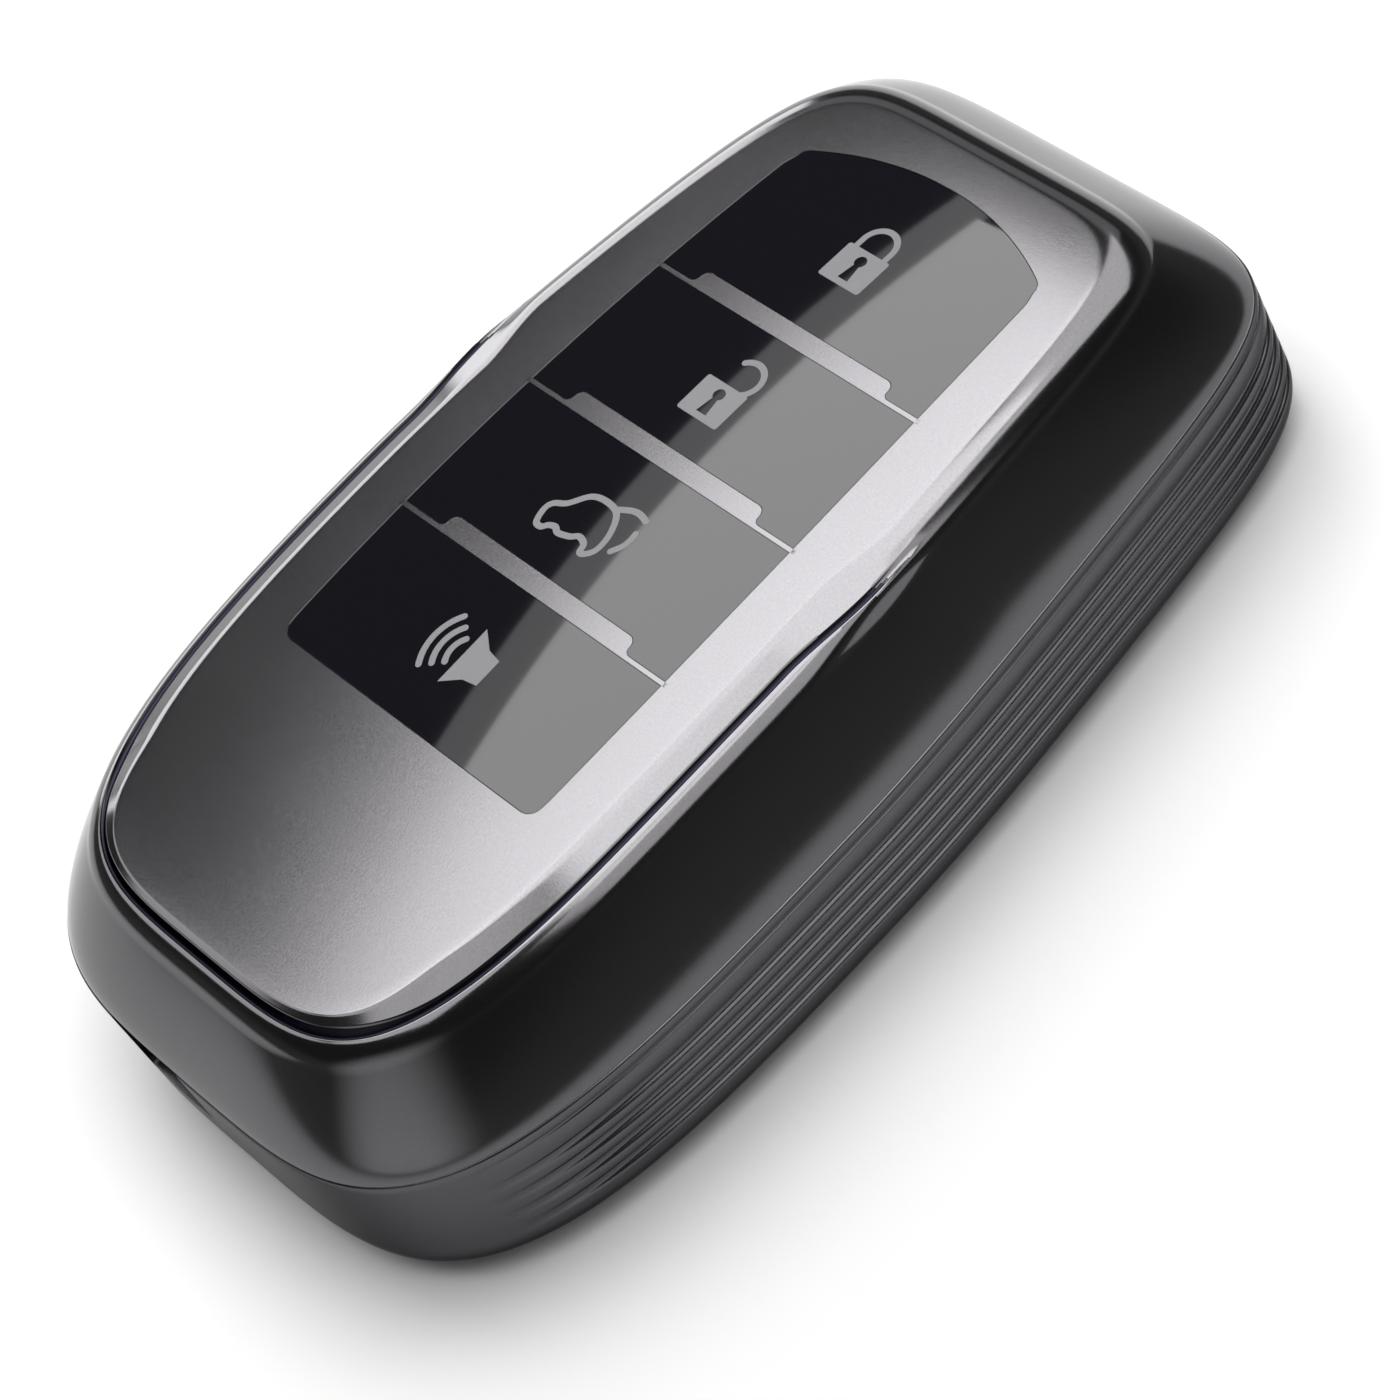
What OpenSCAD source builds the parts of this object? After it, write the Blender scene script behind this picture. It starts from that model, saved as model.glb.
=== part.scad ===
// Snap-together cover for a four-button smart key fob.
// It lies on its back: +Z points out of the keys, +Y towards the lock key,
// and -Y towards the rounded end with the key ring slot.

/* [Body] */
// Length of the cover
body_l = 80; // [76:0.5:90]
// Width across the tongue end
near_w = 46.2; // [45:0.1:48]
// Width across the lock key end
far_w = 41.6; // [40.8:0.1:43]
// Height of the arched face at its middle
face_z = 20.3; // [20:0.1:21.5]
// Radius of the face arch along the cover
face_r = 370; // [340:10:600]
// Where along the cover the face is highest
apex_y = -5.5; // [-6:0.5:2]
// Height of the line where the two shells meet
split_z = 11.5; // [11.3:0.1:11.8]
// Wall thickness of both shells
wall_t = 1.8; // [1.6:0.05:2]
// Squareness of the corners at the rounded end, as a power
near_power = 3.9; // [3.4:0.05:4.6]
// Squareness of the corners at the lock key end, as a power
far_power = 6.3; // [4.6:0.1:6.6]
// Where the outline starts to taper
taper_y = -3.5; // [-6:0.5:0]
// Length of the taper
taper_l = 38; // [28:1:40]

/* [Front shell] */
// How far the front shell's lower edge stands back from the ribs
edge_in = 0.1; // [0.05:0.05:0.2]
// Rim crest beside the groove, in from the outline
rim_in = 5.05; // [4.7:0.05:5.05]
// Radius of the rim, which slopes down from the groove to the wall
rim_r = 2.6; // [2:0.1:3]
// Drop of the rim crest below the face
rim_drop = 0.75; // [0.5:0.05:1]
// Groove round the tongue, in from the outline
groove_in = 5.4; // [5.4:0.05:5.8]
// Width of the groove
groove_w = 0.56; // [0.4:0.02:0.7]
// Depth of the groove
groove_d = 0.25; // [0.15:0.05:0.4]
// Width of the chamfer round the tongue
roll_w = 1.7; // [1.4:0.1:2.2]
// Slope of that chamfer, in degrees
roll_slope = 26; // [20:1:30]
// Radius of the rolled edge beyond the shoulders
shoulder_r = 2.8; // [2.4:0.1:3.2]
// Centre of that roll, in from the outline
shoulder_in = 6.3; // [6:0.05:6.6]
// Where the shoulders start
shoulder_y = 6.5; // [4:0.5:8]
// Length of the shoulders
shoulder_l = 7.5; // [5:0.5:9]
// How far the groove runs outwards where it meets the shoulders
flare_out = 0.8; // [0:0.1:1]
// Thickness of the roof at the middle of the arch
roof_t = 3.2; // [3:0.05:3.3]
// Depth of the lip that enters the rear shell
lip_h = 1.2; // [0.8:0.1:1.5]
// Play between the lip and its step
lip_gap = 0.1; // [0.05:0.01:0.2]

/* [Rear shell] */
// Thickness of the floor
floor_t = 1.5; // [1.2:0.05:1.7]
// Radius round the bottom edge
foot_r = 3.2; // [2.4:0.1:3.3]
// Number of grooves in the ribbed band
rib_count = 4; // [3:1:4]
// Spacing of the grooves
rib_pitch = 1.55; // [1.4:0.05:1.6]
// Width of a groove
rib_w = 0.8; // [0.6:0.05:0.8]
// Depth of a groove
rib_d = 0.3; // [0.2:0.05:0.4]
// Highest of them, below the split line
rib_drop = 3; // [2.6:0.05:3]
// Fine line above the band, below the split line
line_drop = 0.95; // [0.8:0.05:1.2]

/* [Key panel] */
// Near edge of the panel, from the middle, as a share of the length
panel_share = 0.205; // [0.2:0.0025:0.215]
// Widest part of the panel, as a share of the width
panel_w_share = 0.535; // [0.51:0.001:0.54]
// Where the panel is widest
barrel_y = -5; // [-8:0.5:0]
// Radius of the panel's curved long sides
barrel_r = 384; // [340:4:600]
// Distance from one divider to the next, as a share of the length
pitch_share = 0.1375; // [0.136:0.0005:0.139]
// Length of the lock key along the middle, as a share of the length
lock_share = 0.179; // [0.172:0.001:0.182]
// Radius of the arched end of the lock key
arch_r = 22.5; // [21:0.5:30]
// Radius of the panel's corners
corner_r = 1; // [0.7:0.1:1.3]
// Width of a divider's thin line
bar_w = 0.32; // [0.28:0.02:0.5]
// Width of a divider's thick middle
tab_w = 17.2; // [14:0.2:18]
// Height of that middle above the line
tab_h = 1.1; // [0.8:0.05:1.4]
// Radius of its upper corners
tab_r = 0.6; // [0.3:0.05:0.7]
// Play round each key
key_gap = 0.06; // [0.05:0.01:0.1]
// How far a key lies below the face
key_sink = 0.02; // [0:0.01:0.1]
// Thickness of a key's flange
flange_t = 0.55; // [0.45:0.05:0.6]
// How far the flange reaches past the window
flange_w = 0.6; // [0.45:0.05:0.65]
// Depth of the icon inlays
inlay_t = 0.2; // [0.15:0.05:0.3]

/* [Icons] */
// Line width of the icons
icon_line = 0.44; // [0.36:0.02:0.5]
// Width of the padlock body
padlock_w = 3.6; // [3.2:0.1:3.8]
// Height of the padlock body
padlock_h = 2.9; // [2.6:0.1:3]
// Middle radius of the padlock shackle
shackle_r = 1.26; // [1.1:0.02:1.3]
// Length of the car icon
car_w = 5.5; // [5:0.1:5.8]
// Half height of the horn's mouth
horn_h = 2.16; // [1.9:0.02:2.3]
// Spacing of the sound waves
wave_pitch = 0.86; // [0.8:0.02:0.9]

/* [Keypad] */
// Height of the return domes
dome_h = 1; // [0.9:0.05:1.1]
// Outer radius of a dome at its foot
dome_r = 3.6; // [3.2:0.1:3.8]
// Wall of a dome
dome_t = 0.45; // [0.35:0.05:0.6]
// Thickness of the silicone mat
mat_t = 0.5; // [0.4:0.05:0.6]
// Thickness of the retainer plate
plate_t = 0.6; // [0.5:0.05:0.8]
// How far the mat and the plate stand in from the outline at their near end
plate_near_in = 5.6; // [5.5:0.1:6]
// The same at their far end
plate_far_in = 5.7; // [5.6:0.1:6.2]
// Radius of the push pin under each key
pin_r = 1.6; // [1.2:0.1:1.8]
// Play of a push pin in the plate
pin_gap = 0.3; // [0.2:0.05:0.5]
// Radius of a retainer screw
screw_r = 0.5; // [0.45:0.05:0.55]
// Radius of a screw head
screw_head_r = 1.3; // [1.1:0.1:1.4]
// Height of a screw head
screw_head_h = 0.6; // [0.4:0.05:0.6]
// Wall of a screw boss round its hole
boss_wall = 0.7; // [0.6:0.05:0.75]
// Thickness of the soft pads
pad_t = 0.7; // [0.5:0.05:0.8]

/* [Key ring slot] */
// Middle of the slot across the cover
slot_x = -4.5; // [-6:0.5:0]
// Width of the slot
slot_w = 7; // [6.4:0.1:8]
// Height of the slot below the split line
slot_h = 5.6; // [5:0.1:6]
// Radius of the ring post
post_r = 1; // [0.8:0.05:1.1]
// Distance of the post from the end of the cover
post_in = 4.6; // [4.4:0.1:5]

/* [Hidden] */

$fn = 48;
// Overrun of every cut
cut = 0.5;
// Points round each ring of a shell
ring_n = 80;
// Rings up the wall of the front shell
wall_steps = 5;
// Wall lean builds up with this power of the height
wall_power = 1.2;
// The insets of the near end, as a share of those of the sides
near_end_share = 1.04;
// Rings further in grow squarer at the near end, by this much over the length of the cover
near_squaring = 4;
// Angle at which the wall meets the rounding above it
top_angle = 30;
// Angle at which that rounding ends at the groove
rim_angle = 65;
// The fine line is this share of a groove in width and depth
line_share = 0.4;
// Corners of the chamfer round the tongue: share of its width, and share of its full fall
roll_shares = [[0.65, 0.175], [0.82, 0.035], [1, 0]];
roll_edge_share = 0.825;
// How much of the flare each corner of the tongue's profile takes
flare_shares = [0, 0.5, 1, 1, 1, 1, 0.5, 0.25, 0];
flare_y = -1;
flare_l = 10;
// Where the ribs start at the near end, and the distance over which they grow
fade_in = 6;
fade_l = 12;
fade_y = -body_l / 2 + fade_in;
// Small bevel of the rear shell's top edge
edge_bevel = 0.2;
// Rounding where the rear shell's floor meets its wall
floor_round = 1.5;
// Slope of the inner wall of the front shell, in from the lip
inner_near = 4.2;
inner_far = 3.9;
inner_round = 0.8;
// Knee of that wall, as a share of its depth and of its height
knee_share = 0.35;
knee_rise = 0.45;

ceiling_z = face_z - roof_t;
panel_y = -body_l * panel_share;
panel_w = near_w * panel_w_share;
key_pitch = body_l * pitch_share;
lock_l = body_l * lock_share;
panel_far_y = panel_y + 3 * key_pitch + lock_l;
key_float = 0.1;
flange_top = ceiling_z - key_float;
flange_z = flange_top - flange_t;
mat_top = flange_z - dome_h;
plate_top = mat_top - mat_t;
plate_z = plate_top - plate_t;
pad_z = plate_z - pad_t;
lip_z = split_z - lip_h;
lip_in = wall_t / 2;

plate_near_w = near_w - 2 * plate_near_in;
plate_far_w = far_w - 2 * plate_far_in;
// How far the mat and the plate reach past the panel
plate_near_run = 6.6;
plate_far_run = 3.4;
plate_near_y = panel_y - plate_near_run;
plate_far_y = panel_far_y + plate_far_run;
plate_corner_r = 5;
screw_play = 0.03;
boss_r = screw_r + boss_wall;
boss_play = 0.15;
screw_bury = 0.35;
boss_clear = 0.25;
far_screw_x = 9.9;
far_screw_run = 1.2;
near_screw_x = 9.6;
near_screw_run = 4.2;
mid_screw_pitches = 1.5;
far_screw = [far_screw_x, panel_far_y + far_screw_run];
mid_screw = [panel_w / 2 + flange_w + boss_r + boss_clear, panel_y + mid_screw_pitches * key_pitch];
near_screw = [near_screw_x, panel_y - near_screw_run];
screw_pts = [for (p = [far_screw, mid_screw, near_screw]) for (s = [-1, 1]) [s * p.x, p.y]];
pad_l = 3;
pad_side = 12;
pad_in = 1;
rear_pad_side_in = 8.9;
rear_pad_near_in = 14;
rear_pad_far_in = 12;
rear_pad_w = near_w - 2 * rear_pad_side_in;
rear_pad_near_y = -body_l / 2 + rear_pad_near_in;
rear_pad_far_y = body_l / 2 - rear_pad_far_in;
rear_pad_r = 6;
post_y = -body_l / 2 + post_in;
post_short = 0.6;
post_top = split_z - post_short;
post_boss_r = 2.1;
post_boss_h = 1.2;
post_play = 0.02;
web_w = 2.8;
web_near = 1.7;
web_far = 5.7;
web_h = 3;
web_gap = 0.3;

// Icon outlines, as shares of the size that each follows
car_shares = [[-0.5, 0], [-0.46, 0.11], [-0.31, 0.2], [-0.15, 0.4], [0.02, 0.46], [0.24, 0.44],
    [0.36, 0.34], [0.45, 0.14], [0.46, -0.06], [0.38, -0.17], [0.31, -0.18], [0.27, -0.08],
    [0.15, -0.04], [0.05, -0.1], [-0.11, -0.14], [-0.2, -0.1], [-0.29, -0.13], [-0.35, -0.19],
    [-0.45, -0.17]];
tailgate_shares = [[0.24, 0.44], [0.42, 0.53], [0.55, 0.55], [0.68, 0.52]];
arrow_shares = [[0.62, 0.02], [0.69, 0.14], [0.71, 0.25], [0.7, 0.34]];
horn_shares = [[0, -1], [0, 1], [0.61, 0.55], [1.14, 0.46], [1.14, -0.46], [0.61, -0.55]];
icon_alarm_x = -0.3;
icon_car_x = -1.05;
icon_padlock_x = -0.45;
// Places of the icons and of their parts, as shares of their own sizes
wave_start = 0.7;
wave_middle = 0.25;
car_low = 0.15;
padlock_open_low = 0.125;
padlock_shut_high = 0.25;
eye_size = 0.12;
eye_high = 0.21;
eye_foot = 0.34;
bow_aside = 0.38;
bow_high = 0.72;
// Facets of small rounds and of the arch
small_n = 24;
arch_n = 1440;

function ease(u) = let (c = min(1, max(0, u))) c * c * (3 - 2 * c);
function mix(a, b, u) = a + (b - a) * u;
function face_at(y) = face_z - face_r + sqrt(face_r * face_r - (y - apex_y) * (y - apex_y));

// Outline at the split line, d inside it: a squared oval whose width tapers towards the far end
function half_w(y) = mix(near_w, far_w, ease((y - taper_y) / taper_l)) / 2;
function inset(a, d) = let (
    low = sin(a) < 0,
    n = low ? near_power + near_squaring * d / body_l : far_power,
    w = near_w / 2 - d,
    l = body_l / 2 - d * (low ? near_end_share : 1),
    r = pow(pow(abs(cos(a)) / w, n) + pow(abs(sin(a)) / l, n), -1 / n),
    y = r * sin(a)) [r * cos(a) * (half_w(y) - d) / w, y];
function end_mix(a, y0, l) = ease((inset(a, 0).y - y0) / l);
angles = [for (i = [0:ring_n - 1]) 360 * i / ring_n];

// Rings across one groove of the ribbed band, size times its full width and depth
function rib_rings(z, size) = [for (s = [-1, -0.45, 0.45, 1]) [for (a = angles) let (
    d = abs(s) < 1 ? size * rib_d * end_mix(a, fade_y, fade_l) : 0,
    p = inset(a, d)) [p.x, p.y, z + s * size * rib_w / 2]]];

function flat_ring(d, z) = [for (a = angles) let (p = inset(a, d)) [p.x, p.y, z]];

// A point on a rounding: from the wall at top_angle over towards level at 90 degrees
function on_round(d, drop, r, w) = [d - r * cos(w), drop - r * sin(w)];

// Profile above the wall, as inset and drop below the face: past the tongue, then past the shoulders
roll_fall = roll_w * tan(roll_slope);
edge_drop = roll_edge_share * roll_fall;
groove_end = groove_in + groove_w / 2;
near_profile = concat(
    [for (w = [top_angle, (top_angle + rim_angle) / 2, rim_angle])
        on_round(rim_in + rim_r * cos(rim_angle), rim_drop + rim_r * sin(rim_angle), rim_r, w)],
    [[groove_in - groove_w / 2, rim_drop], [groove_in, (rim_drop + edge_drop) / 2 + groove_d],
        [groove_end, edge_drop]],
    [for (p = roll_shares) [groove_end + roll_w * p.x, roll_fall * p.y]]);
far_profile = [for (w = [top_angle, 36, 42, 46, 50, 55, 65, 77, 90])
    on_round(shoulder_in, shoulder_r, shoulder_r, w)];
function profile(a, j) = let (
    flared = [near_profile[j].x - flare_out * flare_shares[j] * end_mix(a, flare_y, flare_l), near_profile[j].y])
    mix(flared, far_profile[j], end_mix(a, shoulder_y, shoulder_l));

function skin_pt(a, j) = let (f = profile(a, j), p = inset(a, f.x))
    [p.x, p.y, face_at(p.y) - f.y];
function wall_pt(a, u) = let (
    top = skin_pt(a, 0),
    d = mix(edge_in, profile(a, 0).x, pow(u, wall_power)),
    p = inset(a, d)) [p.x, p.y, mix(split_z, top.z, u)];
function inner_ring(share, z) = [for (a = angles)
    let (d = wall_t + mix(inner_near, inner_far, end_mix(a, shoulder_y, shoulder_l)) * share, p = inset(a, d))
    [p.x, p.y, z]];

// A closed skin through rings of ring_n points; the last cap follows the face if it is arched
module shell_skin(rings, arched) {
    n = ring_n;
    last = (len(rings) - 1) * n;
    quarter = n / 4;
    sides = [for (j = [0:len(rings) - 2]) for (i = [0:n - 1])
        let (k = (i + 1) % n) [j * n + i, (j + 1) * n + i, (j + 1) * n + k, j * n + k]];
    first_cap = [[for (i = [0:n - 1]) i]];
    flat_cap = [[for (i = [n - 1:-1:0]) last + i]];
    arch_cap = [for (i = [-quarter:quarter - 1]) let (
        a = last + (i + n) % n,
        b = last + (i + 1 + n) % n,
        c = last + (n / 2 - i - 1) % n,
        d = last + (n / 2 - i) % n)
        i == -quarter ? [c, b, a] : i == quarter - 1 ? [d, b, a] : [d, c, b, a]];
    polyhedron(concat([for (r = rings) each r]), concat(first_cap, sides, arched ? arch_cap : flat_cap));
}

// Key windows: 0 is the alarm key, 3 the lock key
function line_y(i) = panel_y + i * key_pitch;
function low_y(i) = i == 0 ? panel_y : line_y(i) + bar_w / 2;
function high_y(i) = line_y(i + 1) - bar_w / 2;
function side_x(y) = panel_w / 2 - (y - barrel_y) * (y - barrel_y) / (2 * barrel_r);
function arc_pts(c, r, a0, a1, n) = [for (i = [0:n]) let (a = mix(a0, a1, i / n))
    [c.x + r * cos(a), c.y + r * sin(a)]];
function mirrored(pts) = [for (i = [len(pts) - 1:-1:0]) [-pts[i].x, pts[i].y]];

// Right half of window i, grown by gx at the sides and by gy at the panel's own ends
function low_end(i, gx, gy, y) = let (x = side_x(y) + gx, r = corner_r + gy)
    i == 0 ? arc_pts([x - r, y + r], r, -90, 0, 6) : [[x, y]];
function high_end(i, gx, gy, y) = let (
    x = side_x(panel_far_y - corner_r) + gx,
    r = corner_r + gy,
    c = panel_far_y - arch_r,
    big = arch_r + gy,
    rise = sqrt((big - r) * (big - r) - (x - r) * (x - r)),
    turn = atan2(rise, x - r))
    i == 3 ? concat(arc_pts([x - r, c + rise], r, 0, turn, 6), arc_pts([0, c], big, turn, 90, 8))
        : [[side_x(y) + gx, y]];
function window_pts(i, gx, gy, gd) = let (
    y0 = low_y(i) - (i == 0 ? gy : gd),
    y1 = high_y(i) + gd,
    ym = (y0 + min(y1, panel_far_y)) / 2,
    right = concat(low_end(i, gx, gy, y0), [[side_x(ym) + gx, ym]], high_end(i, gx, gy, y1)))
    concat(right, mirrored(right));

module window_2d(i, gx = 0, gy = 0, gd = 0) {
    polygon(window_pts(i, gx, gy, gd));
}

// The thick middle of divider i, grown by g
module tab_2d(i, g = 0) {
    x = tab_w / 2 + g;
    y = low_y(i);
    h = tab_h + g;
    right = concat([[x, y - bar_w / 2 - g]], arc_pts([x - tab_r, y + h - tab_r], tab_r, 0, 90, 6));
    polygon(concat(right, mirrored(right)));
}

module layer(z, h) {
    translate([0, 0, z]) linear_extrude(h) children();
}

// Everything under the arched face, lowered by d
module under_face(d) {
    translate([-body_l / 2, apex_y, face_z - face_r]) rotate([0, 90, 0])
        cylinder(r = face_r - d, h = body_l, $fn = arch_n);
}

// A plate with rounded corners, w0 wide at its near end y0 and w1 wide at its far end y1
function slab_pts(w0, w1, y0, y1, r) = let (right = concat(
    arc_pts([w0 / 2 - r, y0 + r], r, -90, 0, 8), arc_pts([w1 / 2 - r, y1 - r], r, 0, 90, 8)))
    concat(right, mirrored(right));
plate_pts = slab_pts(plate_near_w, plate_far_w, plate_near_y, plate_far_y, plate_corner_r);

function key_y(i) = i == 3 ? low_y(3) + key_pitch / 2 : (low_y(i) + high_y(i)) / 2;

module front_shell() {
    inner = [
        inner_ring(1 + inner_round / inner_far, ceiling_z),
        inner_ring(1, ceiling_z - inner_round),
        inner_ring(knee_share, mix(split_z, ceiling_z, knee_rise)),
        flat_ring(wall_t, split_z),
        flat_ring(wall_t, lip_z)];
    lip = [flat_ring(lip_in, lip_z), flat_ring(lip_in, split_z)];
    outer = [for (k = [0:wall_steps - 1]) [for (a = angles) wall_pt(a, k / wall_steps)]];
    top = [for (j = [0:len(near_profile) - 1]) [for (a = angles) skin_pt(a, j)]];
    color("#59595e")
    difference() {
        union() {
            shell_skin(concat(inner, lip, outer, top), true);
            for (p = screw_pts) translate([p.x, p.y, plate_top])
                cylinder(r = boss_r, h = ceiling_z - plate_top + screw_bury);
            translate([slot_x - web_w / 2, -body_l / 2 + web_near, split_z - web_gap])
                cube([web_w, web_far - web_near, web_h]);
        }
        for (i = [0:3]) difference() {
            layer(ceiling_z - cut, roof_t + 2 * cut) window_2d(i);
            if (i > 0) layer(ceiling_z - 2 * cut, roof_t + 4 * cut) tab_2d(i);
        }
        for (p = screw_pts) translate([p.x, p.y, plate_top - cut])
            cylinder(r = screw_r + screw_play, h = ceiling_z - plate_top + cut);
        translate([slot_x - slot_w / 2, -body_l / 2 - cut, lip_z - cut])
            cube([slot_w, wall_t + 2 * cut, lip_h + cut]);
    }
}

module rear_shell() {
    foot = [for (w = [0, 22, 45, 68, 90]) flat_ring(foot_r * (1 - sin(w)), foot_r * (1 - cos(w)))];
    ribs = [for (k = [rib_count - 1:-1:0]) each rib_rings(split_z - rib_drop - k * rib_pitch, 1)];
    edge = [flat_ring(0, split_z - edge_bevel), flat_ring(edge_bevel, split_z)];
    step = [flat_ring(lip_in - lip_gap, split_z), flat_ring(lip_in - lip_gap, lip_z - lip_gap),
        flat_ring(wall_t, lip_z - lip_gap)];
    inner = [for (w = [90, 45, 0]) flat_ring(wall_t + floor_round * (1 - sin(w)),
        floor_t + floor_round * (1 - cos(w)))];
    color("#4c4c50")
    difference() {
        union() {
            shell_skin(concat(foot, ribs, rib_rings(split_z - line_drop, line_share), edge, step, inner), false);
            translate([slot_x, post_y, floor_t - screw_bury])
                cylinder(r = post_boss_r, h = post_boss_h + screw_bury);
        }
        translate([slot_x, post_y, floor_t]) cylinder(r = post_r + post_play, h = post_boss_h + cut);
        translate([slot_x - slot_w / 2, -body_l / 2 - cut, split_z - slot_h])
            cube([slot_w, wall_t + 2 * cut, slot_h + cut]);
    }
}

// One key: cap, flange and push pin, with a pocket for its inlay
module key(i) {
    color("#0d0d10")
    difference() {
        intersection() {
            union() {
                layer(flange_z, face_z - flange_z) window_2d(i, -key_gap, -key_gap, -key_gap);
                layer(flange_z, flange_t) window_2d(i, flange_w, flange_w, -key_gap);
                translate([0, key_y(i), plate_z + key_float])
                    cylinder(r = pin_r, h = flange_z - plate_z);
            }
            under_face(key_sink);
        }
        if (i > 0) layer(flange_top, roof_t + cut) tab_2d(i, key_gap);
        difference() {
            layer(ceiling_z, roof_t + cut) icon_2d(i);
            under_face(key_sink + inlay_t);
        }
    }
}

module icon(i) {
    color("#c9c9cd")
    difference() {
        intersection() {
            layer(ceiling_z, roof_t + cut) icon_2d(i);
            under_face(key_sink);
        }
        under_face(key_sink + inlay_t);
    }
}

module dome(i) {
    foot = dome_r;
    head = dome_r - 2 * dome_t;
    color("#2b2b2e")
    translate([0, key_y(i), mat_top])
        rotate_extrude() polygon([[foot - dome_t, 0], [foot, 0], [head, dome_h], [head - dome_t, dome_h]]);
}

// Flat line through the points pts
module line_2d(pts, closed) {
    for (k = [0:len(pts) - (closed ? 1 : 2)]) {
        a = pts[k];
        b = pts[(k + 1) % len(pts)];
        translate(a) rotate(atan2(b.y - a.y, b.x - a.x))
            translate([0, -icon_line / 2]) square([norm(b - a), icon_line]);
        translate(b) circle(r = icon_line / 2, $fn = small_n);
    }
}

// Part of a ring of middle radius r, between two angles less than half a turn apart
module arc_2d(r, a0, a1) {
    reach = 2 * r;
    intersection() {
        difference() {
            circle(r = r + icon_line / 2);
            circle(r = r - icon_line / 2);
        }
        polygon(concat([[0, 0]], arc_pts([0, 0], reach, a0, a1, 4)));
    }
}

module padlock_2d(open) {
    hole_r = padlock_w * eye_size;
    difference() {
        square([padlock_w, padlock_h], center = true);
        translate([0, padlock_h * eye_high]) circle(r = hole_r, $fn = small_n);
        polygon([[-hole_r / 2, padlock_h * eye_high], [hole_r / 2, padlock_h * eye_high],
            [hole_r, -padlock_h * eye_foot], [-hole_r, -padlock_h * eye_foot]]);
    }
    if (open) {
        translate([shackle_r * bow_aside, padlock_h / 2 + shackle_r * bow_high]) {
            arc_2d(shackle_r, -55, 30);
            arc_2d(shackle_r, 28, 135);
        }
    } else {
        leg = shackle_r / 2;
        translate([0, padlock_h / 2 + leg]) {
            arc_2d(shackle_r, 0, 91);
            arc_2d(shackle_r, 89, 180);
        }
        for (s = [-1, 1]) translate([s * shackle_r - icon_line / 2, padlock_h / 2 - icon_line])
            square([icon_line, leg + icon_line]);
    }
}

module car_2d() {
    line_2d(car_w * car_shares, true);
    line_2d(car_w * tailgate_shares, false);
    line_2d(car_w * arrow_shares, false);
}

module horn_2d() {
    polygon(horn_h * horn_shares);
    for (k = [0:2]) translate([horn_h * wave_middle, 0])
        arc_2d(horn_h * wave_start + k * wave_pitch, 142, 218);
}

module icon_2d(i) {
    y = key_y(i);
    if (i == 0) translate([icon_alarm_x, y]) horn_2d();
    if (i == 1) translate([icon_car_x, y - car_w * car_low]) car_2d();
    if (i == 2) translate([icon_padlock_x, y - padlock_h * padlock_open_low]) padlock_2d(true);
    if (i == 3) translate([icon_padlock_x, y + padlock_h * padlock_shut_high]) padlock_2d(false);
}

module key_alarm() { key(0); }
module key_tailgate() { key(1); }
module key_unlock() { key(2); }
module key_lock() { key(3); }
module icon_alarm() { icon(0); }
module icon_tailgate() { icon(1); }
module icon_unlock() { icon(2); }
module icon_lock() { icon(3); }
module dome_alarm() { dome(0); }
module dome_tailgate() { dome(1); }
module dome_unlock() { dome(2); }
module dome_lock() { dome(3); }

module keypad_mat() {
    color("#2b2b2e")
    difference() {
        layer(plate_top, mat_t) polygon(plate_pts);
        for (i = [0:3]) translate([0, key_y(i), plate_top - cut])
            cylinder(r = dome_r - 2 * dome_t, h = mat_t + 2 * cut);
        for (p = screw_pts) translate([p.x, p.y, plate_top - cut])
            cylinder(r = boss_r + boss_play, h = mat_t + 2 * cut);
    }
}

module retainer_plate() {
    color("#6f7073")
    difference() {
        layer(plate_z, plate_t) polygon(plate_pts);
        for (i = [0:3]) translate([0, key_y(i), plate_z - cut])
            cylinder(r = pin_r + pin_gap, h = plate_t + 2 * cut);
        for (p = screw_pts) translate([p.x, p.y, plate_z - cut])
            cylinder(r = screw_r + screw_play, h = plate_t + 2 * cut);
    }
}

module retainer_screws() {
    color("#a9abae")
    for (p = screw_pts) translate([p.x, p.y, plate_z]) {
        difference() {
            translate([0, 0, -screw_head_h]) cylinder(r = screw_head_r, h = screw_head_h);
            for (turn = [0, 90]) rotate(turn) translate([-screw_r, -screw_r / 4, -screw_head_h - cut])
                cube([2 * screw_r, screw_r / 2, cut + screw_head_h / 2]);
        }
        cylinder(r = screw_r, h = ceiling_z - plate_z - key_float);
    }
}

module plate_pads() {
    color("#1d1d1f")
    for (y = [plate_near_y + pad_in, plate_far_y - pad_in - pad_l])
        translate([-pad_side / 2, y, pad_z]) cube([pad_side, pad_l, pad_t]);
}

module rear_pad() {
    color("#1d1d1f")
    layer(floor_t, pad_t) polygon(slab_pts(rear_pad_w, rear_pad_w, rear_pad_near_y, rear_pad_far_y, rear_pad_r));
}

module ring_post() {
    color("#b9bbbe")
    translate([slot_x, post_y, floor_t]) cylinder(r = post_r, h = post_top - floor_t);
}

front_shell();
rear_shell();
key_alarm();
key_tailgate();
key_unlock();
key_lock();
icon_alarm();
icon_tailgate();
icon_unlock();
icon_lock();
keypad_mat();
dome_alarm();
dome_tailgate();
dome_unlock();
dome_lock();
retainer_plate();
retainer_screws();
plate_pads();
rear_pad();
ring_post();
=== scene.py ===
import math

import bmesh
import bpy
import numpy as np
from mathutils import Matrix, Vector


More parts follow.
